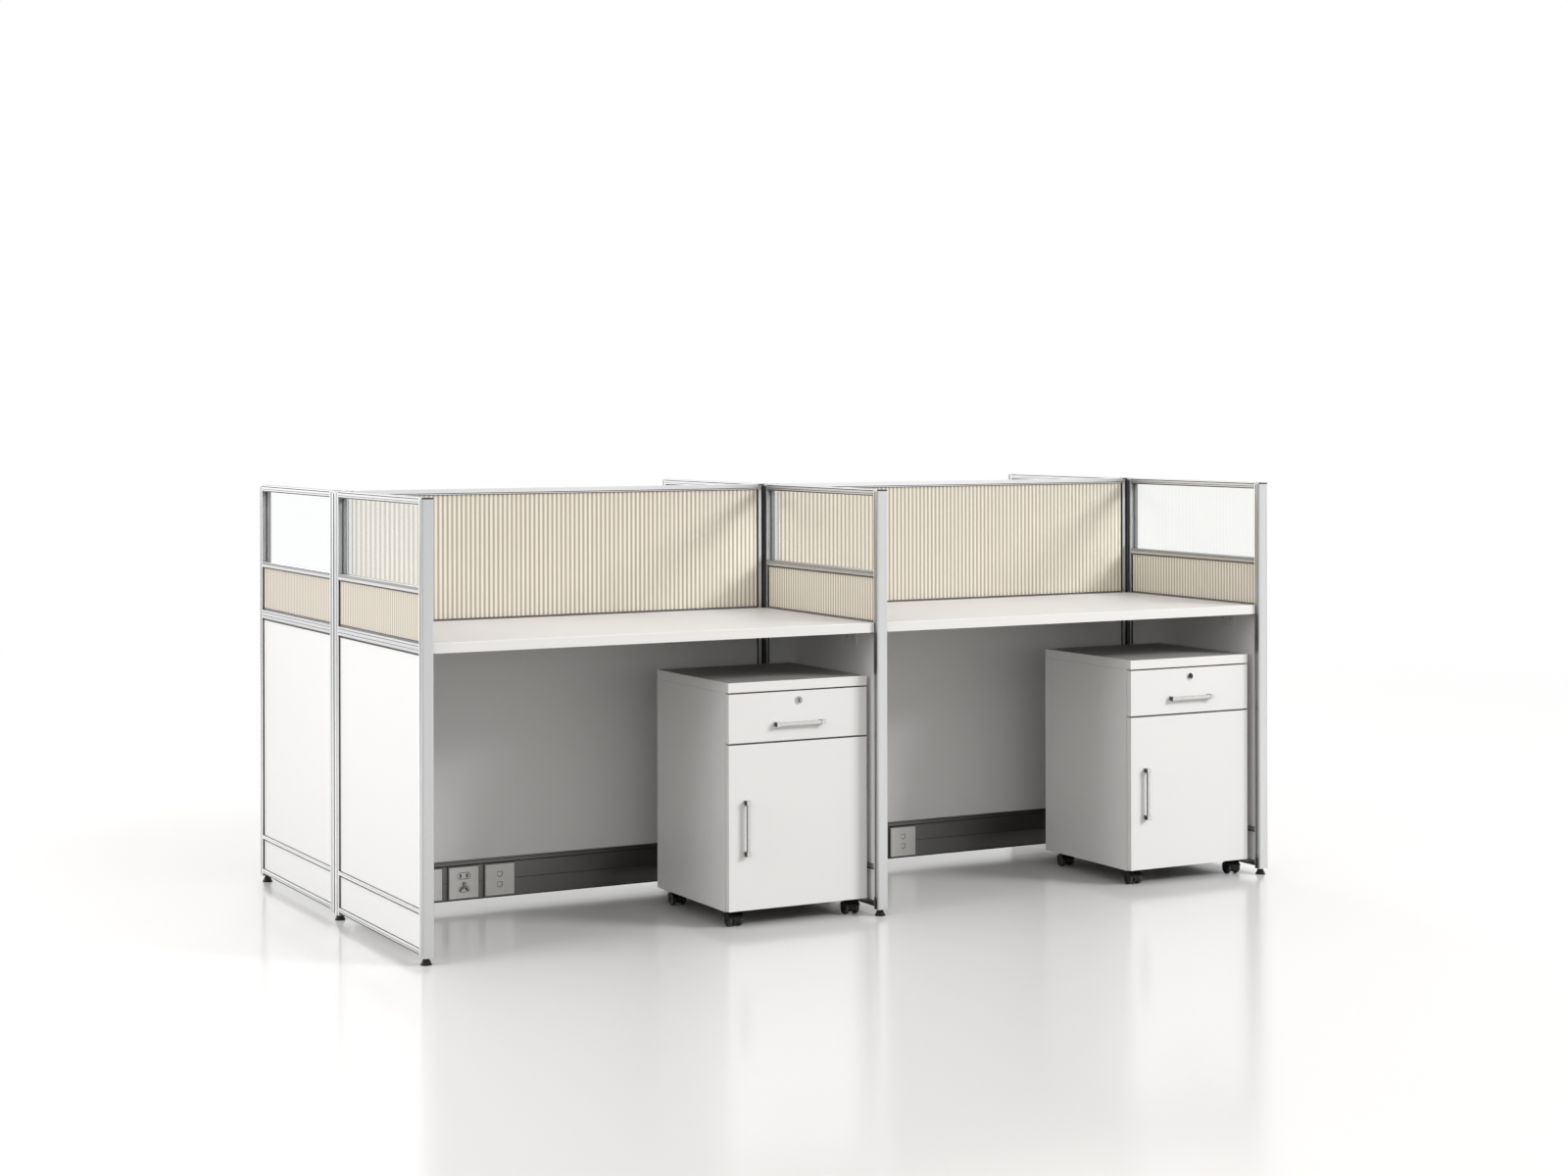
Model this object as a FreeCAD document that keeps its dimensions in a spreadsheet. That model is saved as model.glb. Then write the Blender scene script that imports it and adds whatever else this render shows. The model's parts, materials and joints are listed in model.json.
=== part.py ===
import FreeCAD, Part
import Sketcher
import os
import re
from FreeCAD import Placement, Rotation, Vector

# Four-seat cubicle workstation: a spine screen with three crossing wing screens,
# a worktop in each of the four bays and a mobile pedestal under each front worktop.
# +X runs along the spine, -Y is the front, +Z is up and the floor is at zero.

doc = FreeCAD.newDocument("CubicleWorkstation")
sheet = doc.addObject("Spreadsheet::Sheet", "Sizes")

sizes = {
    # Layout of the screens
    "bay_width": 1200,
    "wing_depth": 613,
    "screen_thickness": 30,
    "foot_height": 17,
    "frame_height": 1070,
    # Extruded frame members
    "stile_width": 17,
    "profile_wall": 1.5,
    "groove_width": 8,
    "groove_depth": 6,
    "post_bore_radius": 6,
    "line_height": 1.2,
    "line_depth": 0.8,
    "line_drop": 11,
    "spine_line_drop": 9,
    "top_rail_height": 17,
    "mid_rail_height": 17,
    "worktop_rail_height": 22,
    "worktop_rail_step": 1,
    "neck_thickness": 10,
    "neck_below": 4,
    "neck_above": 5,
    "lower_rail_height": 12,
    "bottom_rail_height": 13,
    "bottom_rail_lift": 7,
    "spine_top_rail_height": 14,
    "cap_thickness": 4,
    "end_cover_thickness": 3,
    "end_cover_chamfer": 1,
    # Infill of the screens
    "panel_thickness": 20,
    "kick_height": 81,
    "fluted_height": 111,
    "flute_pitch": 12.85,
    "flute_depth": 1.2,
    "glass_thickness": 5,
    "glass_bite": 5,
    # Raceway at the foot of the spine
    "raceway_lift": 5,
    "raceway_sill_height": 5,
    "raceway_head_height": 13,
    "raceway_cover_height": 85,
    "raceway_cover_thickness": 2,
    "raceway_line_height": 1.2,
    "raceway_line_depth": 0.6,
    # Wall plates on the raceway
    "plate_side": 86,
    "plate_thickness": 8,
    "plate_bevel": 3,
    "plate_pitch": 100.5,
    "plate_start": 211,
    "plate_gap": 0.5,
    "back_box_side": 60,
    "back_box_depth": 22,
    "back_box_clearance": 0.5,
    "well_depth": 0.8,
    "pin_slot_length": 7,
    "pin_slot_width": 2.4,
    "pin_slot_depth": 2.5,
    "pair_rise": 18,
    "pair_spread": 9,
    "pair_well_radius": 9,
    "triple_top_drop": 5,
    "triple_drop": 17,
    "triple_spread": 8,
    "triple_tilt": 30,
    "triple_well_radius": 7.5,
    "port_width": 15,
    "port_height": 16,
    "port_point": 5,
    "port_depth": 2,
    "port_spread": 13.5,
    # Worktops
    "desk_height": 750,
    "worktop_front_inset": 11,
    "worktop_thickness": 25,
    "worktop_side_gap": 1,
    "worktop_back_gap": 2,
    # Cable grommets
    "grommet_side_inset": 92,
    "grommet_back_inset": 95,
    "grommet_hole_radius": 30,
    "grommet_clearance": 0.3,
    "grommet_wall": 4.7,
    "grommet_flange_width": 4,
    "grommet_flange_thickness": 2,
    "grommet_body_length": 22,
    "grommet_cap_thickness": 3,
    "grommet_cap_ledge": 2.2,
    "cable_notch_width": 30,
    "cable_notch_depth": 12,
    # Worktop brackets and their screws
    "bracket_leg": 40,
    "bracket_thickness": 2.5,
    "bracket_length": 60,
    "bracket_side_inset": 130,
    "bracket_back_inset": 260,
    "bracket_hole_radius": 2.5,
    "bracket_hole_inset": 15,
    "screw_radius": 2,
    "screw_length": 12,
    "screw_head_radius": 4,
    "screw_head_height": 2,
    # Levelling feet
    "foot_base_radius": 13.5,
    "foot_top_radius": 6,
    "foot_rim_height": 3,
    "foot_inset": 15,
    "foot_stem_radius": 3,
    "foot_stem_length": 25,
    # Mobile pedestals
    "pedestal_width": 400,
    "pedestal_depth": 410,
    "pedestal_headroom": 112,
    "caster_height": 40,
    "left_pedestal_gap": 7.5,
    "left_pedestal_setback": 38,
    "right_pedestal_gap": 15.3,
    "right_pedestal_setback": 28,
    "pedestal_top_thickness": 25,
    "board_thickness": 16,
    "front_thickness": 18,
    "front_gap": 2,
    "reveal": 2,
    "side_reveal": 1,
    "door_bottom_gap": 1,
    "drawer_front_height": 125.5,
    # Drawer box and its runners
    "box_length": 350,
    "box_wall": 12,
    "box_height": 75,
    "box_lift": 14.5,
    "box_floor": 5,
    "box_floor_lift": 8,
    "runner_space": 13,
    "runner_length": 350,
    "runner_height": 35,
    "runner_sheet": 1.2,
    "runner_gap": 0.4,
    "runner_width": 9,
    "runner_lift": 20,
    # Handles
    "handle_length": 140,
    "handle_bar_height": 10,
    "handle_bar_thickness": 7,
    "handle_post_width": 12,
    "handle_post_height": 12,
    "handle_reach": 17,
    "drawer_handle_drop": 82,
    "door_handle_inset": 50,
    "door_handle_drop": 209.5,
    # Lock of the drawer
    "lock_drop": 24.5,
    "lock_radius": 8,
    "lock_rim_radius": 9.5,
    "lock_rim_height": 2,
    "lock_clearance": 0.08,
    "lock_tail": 8,
    "key_slot_length": 9,
    "key_slot_width": 2,
    "key_slot_depth": 1.5,
    "cam_length": 22,
    "cam_width": 12,
    "cam_thickness": 2,
    "strike_width": 30,
    "strike_height": 16,
    "strike_depth": 24,
    "strike_thickness": 2,
    "strike_gap": 1,
    # Door hinges
    "cup_radius": 17.5,
    "cup_clearance": 0.3,
    "cup_depth": 11.5,
    "cup_wall": 1,
    "cup_edge_inset": 22.5,
    "cup_flange_height": 58,
    "cup_flange_width": 24,
    "cup_flange_thickness": 1.2,
    "hinge_inset": 90,
    "arm_width": 7,
    "arm_height": 12,
    "arm_reach": 5,
    "arm_plate_thickness": 2,
    "arm_plate_length": 45,
    "arm_plate_height": 50,
    "arm_plate_inset": 30,
    # Casters
    "caster_plate_side": 42,
    "caster_plate_thickness": 2,
    "caster_collar_radius": 12,
    "caster_collar_height": 3,
    "caster_side_inset": 32,
    "caster_end_inset": 44,
    "caster_trail": 9,
    "wheel_radius": 16,
    "wheel_width": 9.5,
    "wheel_gap": 20,
    "wheel_hub_radius": 9,
    "wheel_hub_recess": 1,
    "axle_radius": 2.5,
    "axle_clearance": 0.05,
    "web_thickness": 18,
    "web_floor_gap": 8,
    "guard_gap": 0.6,
    "guard_thickness": 1.2,
    "guard_side": 0.5,
    "guard_low_share": 0.35,
    "swivel_gap": 0.3,
    "swivel_disc_height": 2.2,
    "pin_radius": 4,
    "pin_clearance": 0.05,
    "neck_length": 8,
    # Spare length of every cutting tool
    "overrun": 5,
}

for row, (alias, number) in enumerate(sizes.items(), start=1):
    sheet.set(f"A{row}", str(number))
    sheet.setAlias(f"A{row}", alias)
doc.recompute()

# Places that follow from the sizes, as formulas over their aliases.
places = {
    "half_screen": "screen_thickness / 2",
    "half_bay": "bay_width / 2",
    "bay_pitch": "bay_width + screen_thickness",
    "frame_top": "foot_height + frame_height",
    "screen_top": "frame_top + cap_thickness",
    "wing_start": "half_screen + stile_width",
    "wing_end": "half_screen + wing_depth",
    "wing_infill": "wing_depth - 2 * stile_width",
    "spine_infill": "bay_width - 2 * stile_width",
    "bottom_rail_base": "foot_height + bottom_rail_lift",
    "kick_base": "bottom_rail_base + bottom_rail_height",
    "lower_rail_base": "kick_base + kick_height",
    "lower_panel_base": "lower_rail_base + lower_rail_height",
    "worktop_rail_top": "desk_height - worktop_rail_step",
    "worktop_rail_base": "worktop_rail_top - worktop_rail_height",
    "lower_panel_top": "worktop_rail_base - neck_below",
    "fluted_base": "worktop_rail_top + neck_above",
    "mid_rail_base": "fluted_base + fluted_height",
    "glass_base": "mid_rail_base + mid_rail_height",
    "glass_top": "screen_top - top_rail_height",
    "spine_rail_base": "screen_top - spine_top_rail_height",
    "raceway_base": "foot_height + raceway_lift",
    "cover_base": "raceway_base + raceway_sill_height",
    "raceway_head_base": "cover_base + raceway_cover_height",
    "raceway_top": "raceway_head_base + raceway_head_height",
    "plate_middle": "cover_base + raceway_cover_height / 2 - plate_gap",
    "worktop_base": "desk_height - worktop_thickness",
    "worktop_back": "half_screen + worktop_back_gap",
    "worktop_front": "wing_end - worktop_front_inset",
    "pedestal_height": "worktop_base - pedestal_headroom",
    "grommet_x": "half_bay - grommet_side_inset",
    "grommet_y": "worktop_back + grommet_back_inset",
    "grommet_z": "desk_height - grommet_flange_thickness",
    "grommet_flange_radius": "grommet_hole_radius + grommet_flange_width",
    "grommet_bore": "grommet_hole_radius - grommet_clearance - grommet_wall",
    "cap_seat_radius": "grommet_bore + grommet_cap_ledge",
    "foot_y": "wing_end + end_cover_thickness - foot_inset",
    "half_panel": "panel_thickness / 2",
    "top_base": "pedestal_height - pedestal_top_thickness",
    "carcass_front": "front_thickness + front_gap",
    "inner_width": "pedestal_width - 2 * board_thickness",
    "drawer_front_top": "top_base - reveal",
    "drawer_front_base": "drawer_front_top - drawer_front_height",
    "door_top": "drawer_front_base - reveal",
    "door_base": "caster_height + door_bottom_gap",
    "divider_base": "door_top + reveal / 2 - board_thickness / 2",
    "front_width": "pedestal_width - 2 * side_reveal",
    "box_base": "drawer_front_base + box_lift",
    "box_left": "board_thickness + runner_space",
    "box_width": "inner_width - 2 * runner_space",
    "runner_base": "box_base + runner_lift",
    "lock_z": "drawer_front_top - lock_drop",
    "handle_z": "drawer_front_top - drawer_handle_drop",
    "door_handle_z": "door_top - door_handle_drop",
    "cup_x": "pedestal_width - side_reveal - cup_edge_inset",
    "axle_z": "wheel_radius",
    "plate_base": "caster_height - caster_plate_thickness",
    "collar_base": "plate_base - caster_collar_height",
    "disc_top": "collar_base - swivel_gap",
    "disc_base": "disc_top - swivel_disc_height",
    "guard_radius": "wheel_radius + guard_gap + guard_thickness",
    "half_wheels": "wheel_gap / 2 + wheel_width",
}


def formula(text):
    def swap(match):
        word = match.group()
        if word in places:
            return f"({formula(places[word])})"
        return f"Sizes.{word}"
    return re.sub(r"[a-z][a-z_]+", swap, text)


def value(text):
    return float(sheet.evalExpression(formula(text)))


# Building blocks: every length and place is a formula bound to the sheet.

def bind(piece, **formulas):
    for name, text in formulas.items():
        piece.setExpression(name, formula(text))
    return piece


def seat(piece, x="0", y="0", z="0", turn=0, about=(0, 0, 1)):
    piece.Placement = Placement(Vector(), Rotation(Vector(*about), turn))
    for axis, text in zip("xyz", (x, y, z)):
        if text != "0":
            piece.setExpression(f".Placement.Base.{axis}", formula(text))
    return piece


def box(name, corner, span):
    piece = doc.addObject("Part::Box", name)
    bind(piece, Length=span[0], Width=span[1], Height=span[2])
    return seat(piece, *corner)


def middle_box(name, middle, span):
    corner = [f"({spot}) - ({size}) / 2" for spot, size in zip(middle, span)]
    return box(name, corner, span)


def upright(name, spot, radius, length):
    piece = doc.addObject("Part::Cylinder", name)
    bind(piece, Radius=radius, Height=length)
    return seat(piece, *spot)


def along_x(name, spot, radius, length):
    piece = upright(name, ("0", "0", "0"), radius, length)
    return seat(piece, *spot, turn=90, about=(0, 1, 0))


def along_y(name, spot, radius, length):
    piece = upright(name, ("0", "0", "0"), radius, length)
    return seat(piece, *spot, turn=-90, about=(1, 0, 0))


def group(name, members):
    piece = doc.addObject("Part::Compound", name)
    piece.Links = members
    return piece


def fuse(name, members):
    piece = doc.addObject("Part::MultiFuse", name)
    piece.Shapes = members
    return piece


def cut(name, base, tools):
    piece = doc.addObject("Part::Cut", name)
    piece.Base = base
    piece.Tool = tools[0] if len(tools) == 1 else group(f"{name}_tools", tools)
    return piece


def common(name, base, tool):
    piece = doc.addObject("Part::Common", name)
    piece.Base = base
    piece.Tool = tool
    return piece


def copy(name, master, x="0", y="0", z="0", turn=0):
    return seat(group(name, [master]), x, y, z, turn)


def outline(sketch, points):
    # Closed outline whose corners are each held by two formulas.
    rough = [Vector(value(u), value(v), 0) for u, v in points]
    first = sketch.GeometryCount
    for start, end in zip(rough, rough[1:] + rough[:1]):
        sketch.addGeometry(Part.LineSegment(start, end), False)
    count = len(points)
    for step in range(count):
        line, after = first + step, first + (step + 1) % count
        sketch.addConstraint(Sketcher.Constraint("Coincident", line, 2, after, 1))
    for step, (u, v) in enumerate(points):
        for kind, text, rough_size in (("DistanceX", u, rough[step].x), ("DistanceY", v, rough[step].y)):
            mark = Sketcher.Constraint(kind, -1, 1, first + step, 1, rough_size)
            index = sketch.addConstraint(mark)
            sketch.setExpression(f"Constraints[{index}]", formula(text))


def profile(name, plane, loops, length):
    # Extruded body with its outline on one of its own origin planes.
    body = doc.addObject("PartDesign::Body", name)
    base = next(item for item in body.Origin.OriginFeatures if item.Role == plane)
    sketch = body.newObject("Sketcher::SketchObject", f"{name}_outline")
    sketch.AttachmentSupport = [(base, "")]
    sketch.MapMode = "FlatFace"
    for points in loops:
        outline(sketch, points)
    pad = body.newObject("PartDesign::Pad", f"{name}_pad")
    pad.Profile = sketch
    pad.setExpression("Length", formula(length))
    return body


def revolved(name, points):
    # Body turned about its own Z axis from an outline in radius and height.
    body = doc.addObject("PartDesign::Body", name)
    base = next(item for item in body.Origin.OriginFeatures if item.Role == "XZ_Plane")
    sketch = body.newObject("Sketcher::SketchObject", f"{name}_outline")
    sketch.AttachmentSupport = [(base, "")]
    sketch.MapMode = "FlatFace"
    outline(sketch, points)
    turned = body.newObject("PartDesign::Revolution", f"{name}_turned")
    turned.Profile = sketch
    turned.ReferenceAxis = (sketch, ["V_Axis"])
    turned.Angle = 360
    return body


nodes = []


def node(label, piece):
    piece.Label = label
    nodes.append(piece)
    return piece


def node_of(label, members):
    return node(label, group(label, members))


# Places where the masters repeat

wing_spots = [(x, turn) for x in ("-bay_pitch", "0", "bay_pitch") for turn in (0, 180)]
bay_spots = ["-bay_pitch / 2", "bay_pitch / 2"]
seat_spots = [(x, turn) for turn in (0, 180) for x in bay_spots]


def on_wings(name, master):
    return [copy(f"{name}_{step}", master, x=x, turn=turn) for step, (x, turn) in enumerate(wing_spots)]


def on_bays(name, master):
    return [copy(f"{name}_bay_{step}", master, x=x) for step, x in enumerate(bay_spots)]


def on_seats(name, master):
    return [copy(f"{name}_{step}", master, x=x, turn=turn) for step, (x, turn) in enumerate(seat_spots)]


# Frame outlines, with the thickness of the screen across and the height or width up

def rectangle(low_u, low_v, high_u, high_v):
    return [(low_u, low_v), (high_u, low_v), (high_u, high_v), (low_u, high_v)]


def hollow(height, low="0"):
    return rectangle(
        "profile_wall - half_screen", f"({low}) + profile_wall",
        "half_screen - profile_wall", f"({height}) - profile_wall")


def lined_sides(height, drop):
    # Right side upward and left side downward, each with a shadow line.
    low = f"({height}) - {drop} - line_height / 2"
    high = f"({height}) - {drop} + line_height / 2"
    deep = "half_screen - line_depth"
    right = [("half_screen", low), (deep, low), (deep, high), ("half_screen", high), ("half_screen", height)]
    left = [(f"-({u})", v) for u, v in reversed(right)]
    return right + left


def spine_posts():
    half, side, deep = "half_screen", "groove_width / 2", "half_screen - groove_depth"
    corner = [(side, half), (side, deep), (f"-({side})", deep), (f"-({side})", half), (f"-({half})", half)]
    points = []
    for turn in range(4):
        points += corner
        corner = [(f"-({v})", u) for u, v in corner]
    post = profile("post", "XY_Plane", [points], "frame_height")
    bore = upright("post_bore", ("0", "0", "0"), "post_bore_radius", "frame_height")
    bored = cut("bored_post", post, [bore])
    spots = ["-bay_pitch", "0", "bay_pitch"]
    node_of("spine_posts", [copy(f"post_{step}", bored, x=x, z="foot_height") for step, x in enumerate(spots)])


def frame_stiles():
    inner = "stile_width - groove_depth"
    points = [
        ("-half_screen", "0"), ("half_screen", "0"), ("half_screen", "stile_width"),
        ("groove_width / 2", "stile_width"), ("groove_width / 2", inner),
        ("-groove_width / 2", inner), ("-groove_width / 2", "stile_width"),
        ("-half_screen", "stile_width"),
    ]
    stile = profile("stile", "XY_Plane", [points, hollow(inner)], "frame_height")
    wing_pair = group("wing_stile_pair", [
        copy("inner_stile", stile, y="-half_screen", z="foot_height", turn=180),
        copy("outer_stile", stile, y="-wing_end", z="foot_height"),
    ])
    spine_pair = group("spine_stile_pair", [
        copy("left_stile", stile, x="-half_bay", z="foot_height", turn=-90),
        copy("right_stile", stile, x="half_bay", z="foot_height", turn=90),
    ])
    node_of("frame_stiles", on_wings("wing_stile", wing_pair) + on_bays("spine_stile", spine_pair))


def top_rail_loops():
    gap = "groove_width / 2"
    base = [("-half_screen", "0"), (f"-({gap})", "0"), (f"-({gap})", "groove_depth"),
            (gap, "groove_depth"), (gap, "0"), ("half_screen", "0")]
    return [base + lined_sides("top_rail_height", "line_drop"), hollow("top_rail_height", "groove_depth")]


def mid_rail_loops():
    gap, deep = "groove_width / 2", "mid_rail_height - groove_depth"
    points = [
        ("-half_screen", "0"), ("half_screen", "0"), ("half_screen", "mid_rail_height"),
        (gap, "mid_rail_height"), (gap, deep), (f"-({gap})", deep),
        (f"-({gap})", "mid_rail_height"), ("-half_screen", "mid_rail_height"),
    ]
    return [points, hollow(deep)]


def worktop_rail_loops():
    neck, high = "neck_thickness / 2", "worktop_rail_height"
    lower, upper = "-neck_below", "worktop_rail_height + neck_above"
    points = [
        ("-half_screen", "0"), (f"-({neck})", "0"), (f"-({neck})", lower), (neck, lower), (neck, "0"),
        ("half_screen", "0"), ("half_screen", high), (neck, high), (neck, upper),
        (f"-({neck})", upper), (f"-({neck})", high), ("-half_screen", high),
    ]
    return [points, hollow(high)]


def tube_loops(height):
    return [rectangle("-half_screen", "0", "half_screen", height), hollow(height)]


def wing_rails():
    rails = [
        ("wing_top_rail", top_rail_loops(), "glass_top"),
        ("wing_mid_rail", mid_rail_loops(), "mid_rail_base"),
        ("wing_worktop_rail", worktop_rail_loops(), "worktop_rail_base"),
        ("wing_lower_rail", tube_loops("lower_rail_height"), "lower_rail_base"),
        ("wing_bottom_rail", tube_loops("bottom_rail_height"), "bottom_rail_base"),
    ]
    members = []
    for name, loops, height in rails:
        rail = profile(name, "XZ_Plane", loops, "wing_infill")
        members.append(seat(rail, y="-wing_start", z=height))
    node_of("wing_rails", on_wings("wing_rail_set", group("wing_rail_master", members)))


def spine_rails():
    head = [[("-half_screen", "0"), ("half_screen", "0")]
            + lined_sides("spine_top_rail_height", "spine_line_drop"), hollow("spine_top_rail_height")]
    sill = [rectangle("-half_screen", "0", "half_screen", "raceway_sill_height")]
    rails = [
        ("spine_top_rail", head, "spine_rail_base"),
        ("spine_worktop_rail", worktop_rail_loops(), "worktop_rail_base"),
        ("raceway_head", tube_loops("raceway_head_height"), "raceway_head_base"),
        ("raceway_sill", sill, "raceway_base"),
    ]
    members = []
    for name, loops, height in rails:
        rail = profile(name, "YZ_Plane", loops, "spine_infill")
        members.append(seat(rail, x="-spine_infill / 2", z=height))
    node_of("spine_rails", on_bays("spine_rail_set", group("spine_rail_master", members)))


def end_covers():
    edge, bevel = "half_screen", "end_cover_chamfer"
    points = [
        (f"-({edge})", "0"), (f"-({edge})", f"{bevel} - end_cover_thickness"),
        (f"{bevel} - {edge}", "-end_cover_thickness"), (f"{edge} - {bevel}", "-end_cover_thickness"),
        (edge, f"{bevel} - end_cover_thickness"), (edge, "0"),
    ]
    cover = profile("end_cover", "XY_Plane", [points], "frame_height")
    node_of("end_covers", on_wings("end_cover_copy", seat(cover, y="-wing_end", z="foot_height")))


def end_caps():
    outer_depth = "stile_width + end_cover_thickness"
    wing_pair = group("wing_cap_pair", [
        box("inner_cap", ("-half_screen", "-wing_start", "frame_top"),
            ("screen_thickness", "stile_width", "cap_thickness")),
        box("outer_cap", ("-half_screen", "-wing_end - end_cover_thickness", "frame_top"),
            ("screen_thickness", outer_depth, "cap_thickness")),
    ])
    spine_pair = group("spine_cap_pair", [
        box("left_cap", ("-half_bay", "-half_screen", "frame_top"),
            ("stile_width", "screen_thickness", "cap_thickness")),
        box("right_cap", ("half_bay - stile_width", "-half_screen", "frame_top"),
            ("stile_width", "screen_thickness", "cap_thickness")),
    ])
    square = box("post_cap", ("-half_screen", "-half_screen", "frame_top"),
                 ("screen_thickness", "screen_thickness", "cap_thickness"))
    squares = [copy(f"post_cap_{step}", square, x=x) for step, x in enumerate(("-bay_pitch", "0", "bay_pitch"))]
    node_of("end_caps", on_wings("wing_cap", wing_pair) + on_bays("spine_cap", spine_pair) + squares)


def glass_panes():
    corner = ("-glass_thickness / 2", "-wing_start - wing_infill - glass_bite", "glass_base - glass_bite")
    span = ("glass_thickness", "wing_infill + 2 * glass_bite", "glass_top - glass_base + 2 * glass_bite")
    pane = box("pane", corner, span)
    node_of("glass_panes", on_wings("pane_copy", pane))
    return pane


def glazing_gaskets(pane):
    outer = box("gasket_outer",
                ("-groove_width / 2", "-wing_start - wing_infill - groove_depth", "glass_base - groove_depth"),
                ("groove_width", "wing_infill + 2 * groove_depth", "glass_top - glass_base + 2 * groove_depth"))
    window = box("gasket_window",
                 ("-groove_width / 2 - overrun", "-wing_start - wing_infill", "glass_base"),
                 ("groove_width + 2 * overrun", "wing_infill", "glass_top - glass_base"))
    ring = cut("gasket_ring", cut("gasket_frame", outer, [window]), [pane])
    node_of("glazing_gaskets", on_wings("gasket_copy", ring))


def fluted_board(name, length, height):
    # Board with rounded ribs on both faces; a whole number of ribs fills its length.
    board, depth = value(length), value("flute_depth")
    count = round(board / value("flute_pitch"))
    pitch, crest = board / count, value("half_panel")
    valley = crest - depth
    edges = []
    for side in (-1, 1):
        for rib in range(count):
            start = -board / 2 + rib * pitch
            arc = Part.Arc(Vector(start, side * valley, 0), Vector(start + pitch / 2, side * crest, 0),
                           Vector(start + pitch, side * valley, 0))
            edges.append(arc.toShape())
    for end in (-board / 2, board / 2):
        edges.append(Part.makeLine(Vector(end, -valley, 0), Vector(end, valley, 0)))
    wire = Part.Wire(Part.__sortEdges__(edges))
    piece = doc.addObject("Part::Feature", name)
    piece.Shape = Part.Face(wire).extrude(Vector(0, 0, value(height)))
    return piece


def fluted_panels():
    wing_board = fluted_board("wing_fluted_board", "wing_infill", "fluted_height")
    seat(wing_board, y="-wing_start - wing_infill / 2", z="fluted_base", turn=90)
    spine_board = fluted_board("spine_fluted_board", "spine_infill", "spine_rail_base - fluted_base")
    seat(spine_board, z="fluted_base")
    node_of("fluted_panels", on_wings("wing_fluted", wing_board) + on_bays("spine_fluted", spine_board))


def lower_panels():
    wing_board = box("wing_lower_board", ("-half_panel", "-wing_start - wing_infill", "lower_panel_base"),
                     ("panel_thickness", "wing_infill", "lower_panel_top - lower_panel_base"))
    spine_board = box("spine_lower_board", ("-spine_infill / 2", "-half_panel", "raceway_top"),
                      ("spine_infill", "panel_thickness", "lower_panel_top - raceway_top"))
    kick_board = box("kick_board", ("-half_panel", "-wing_start - wing_infill", "kick_base"),
                     ("panel_thickness", "wing_infill", "kick_height"))
    wing_boards = group("wing_boards", [wing_board, kick_board])
    node_of("lower_panels", on_wings("wing_boards_copy", wing_boards) + on_bays("spine_lower", spine_board))


def plate_x(step):
    return f"plate_start - half_bay + {step} * plate_pitch"


def raceway_covers():
    front = "-half_screen"
    sheet_metal = box("raceway_sheet", ("-spine_infill / 2", front, "cover_base"),
                      ("spine_infill", "raceway_cover_thickness", "raceway_cover_height"))
    opening = "back_box_side + 2 * back_box_clearance"
    tools = [
        middle_box(f"cover_hole_{step}", (plate_x(step), front, "plate_middle"),
                   (opening, "2 * raceway_cover_thickness + 2 * overrun", opening))
        for step in range(3)
    ]
    lines = middle_box("cover_line", ("0", front, "cover_base + raceway_cover_height / 2"),
                       ("spine_infill + 2 * overrun", "2 * raceway_line_depth", "raceway_line_height"))
    cover = cut("raceway_cover", cut("lined_sheet", sheet_metal, [lines]), tools)
    node_of("raceway_covers", on_seats("raceway_cover_copy", cover))


plate_face = "-half_screen - plate_thickness"


def wall_plate(name, wells):
    # Square plate stepped back around its edge, with a back box behind the cover.
    base = middle_box(f"{name}_base", ("0", "-half_screen - plate_thickness / 4", "plate_middle"),
                      ("plate_side", "plate_thickness / 2", "plate_side"))
    face_side = "plate_side - 2 * plate_bevel"
    face = middle_box(f"{name}_face", ("0", "-half_screen - 3 * plate_thickness / 4", "plate_middle"),
                      (face_side, "plate_thickness / 2", face_side))
    rear = middle_box(f"{name}_box", ("0", "back_box_depth / 2 - half_screen", "plate_middle"),
                      ("back_box_side", "back_box_depth", "back_box_side"))
    return cut(name, fuse(f"{name}_blank", [base, face, rear]), wells)


def well(name, x, rise, width, height):
    return middle_box(name, (x, plate_face, f"plate_middle + {rise}"), (width, "2 * well_depth", height))


def round_well(name, x, rise, radius):
    spot = (x, f"{plate_face} - overrun", f"plate_middle + {rise}")
    return along_y(name, spot, radius, "well_depth + overrun")


def pin_slot(name, x, rise, tilt=0):
    # Slot for one flat pin, leaning by the tilt about its own middle.
    blank = middle_box(name, ("0", "0", "0"), ("pin_slot_width", "2 * pin_slot_depth", "pin_slot_length"))
    return seat(group(f"{name}_place", [blank]), x, plate_face, f"plate_middle + {rise}", tilt, (0, 1, 0))


def power_sockets():
    tilt = value("triple_tilt")
    pair_radius, triple_radius = "pair_well_radius", "triple_well_radius"
    low = "-triple_drop"
    wells = [
        well("pair_middle", "0", "pair_rise", "2 * pair_spread", f"2 * {pair_radius}"),
        round_well("pair_left", "-pair_spread", "pair_rise", pair_radius),
        round_well("pair_right", "pair_spread", "pair_rise", pair_radius),
        round_well("triple_top", "0", "-triple_top_drop", triple_radius),
        round_well("triple_left", "-triple_spread", low, triple_radius),
        round_well("triple_right", "triple_spread", low, triple_radius),
        well("triple_middle", "0", f"({low} - {triple_radius} / 2)", "2 * triple_spread", triple_radius),
        pin_slot("pair_pin_left", "-pair_spread", "pair_rise"),
        pin_slot("pair_pin_right", "pair_spread", "pair_rise"),
        pin_slot("triple_pin_top", "0", "-triple_top_drop"),
        pin_slot("triple_pin_left", "-triple_spread", low, tilt),
        pin_slot("triple_pin_right", "triple_spread", low, -tilt),
    ]
    socket = wall_plate("power_socket", wells)
    pair = [copy(f"socket_{step}", socket, x=plate_x(step)) for step in range(2)]
    node_of("power_sockets", on_seats("socket_pair", group("socket_pair_master", pair)))


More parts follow.
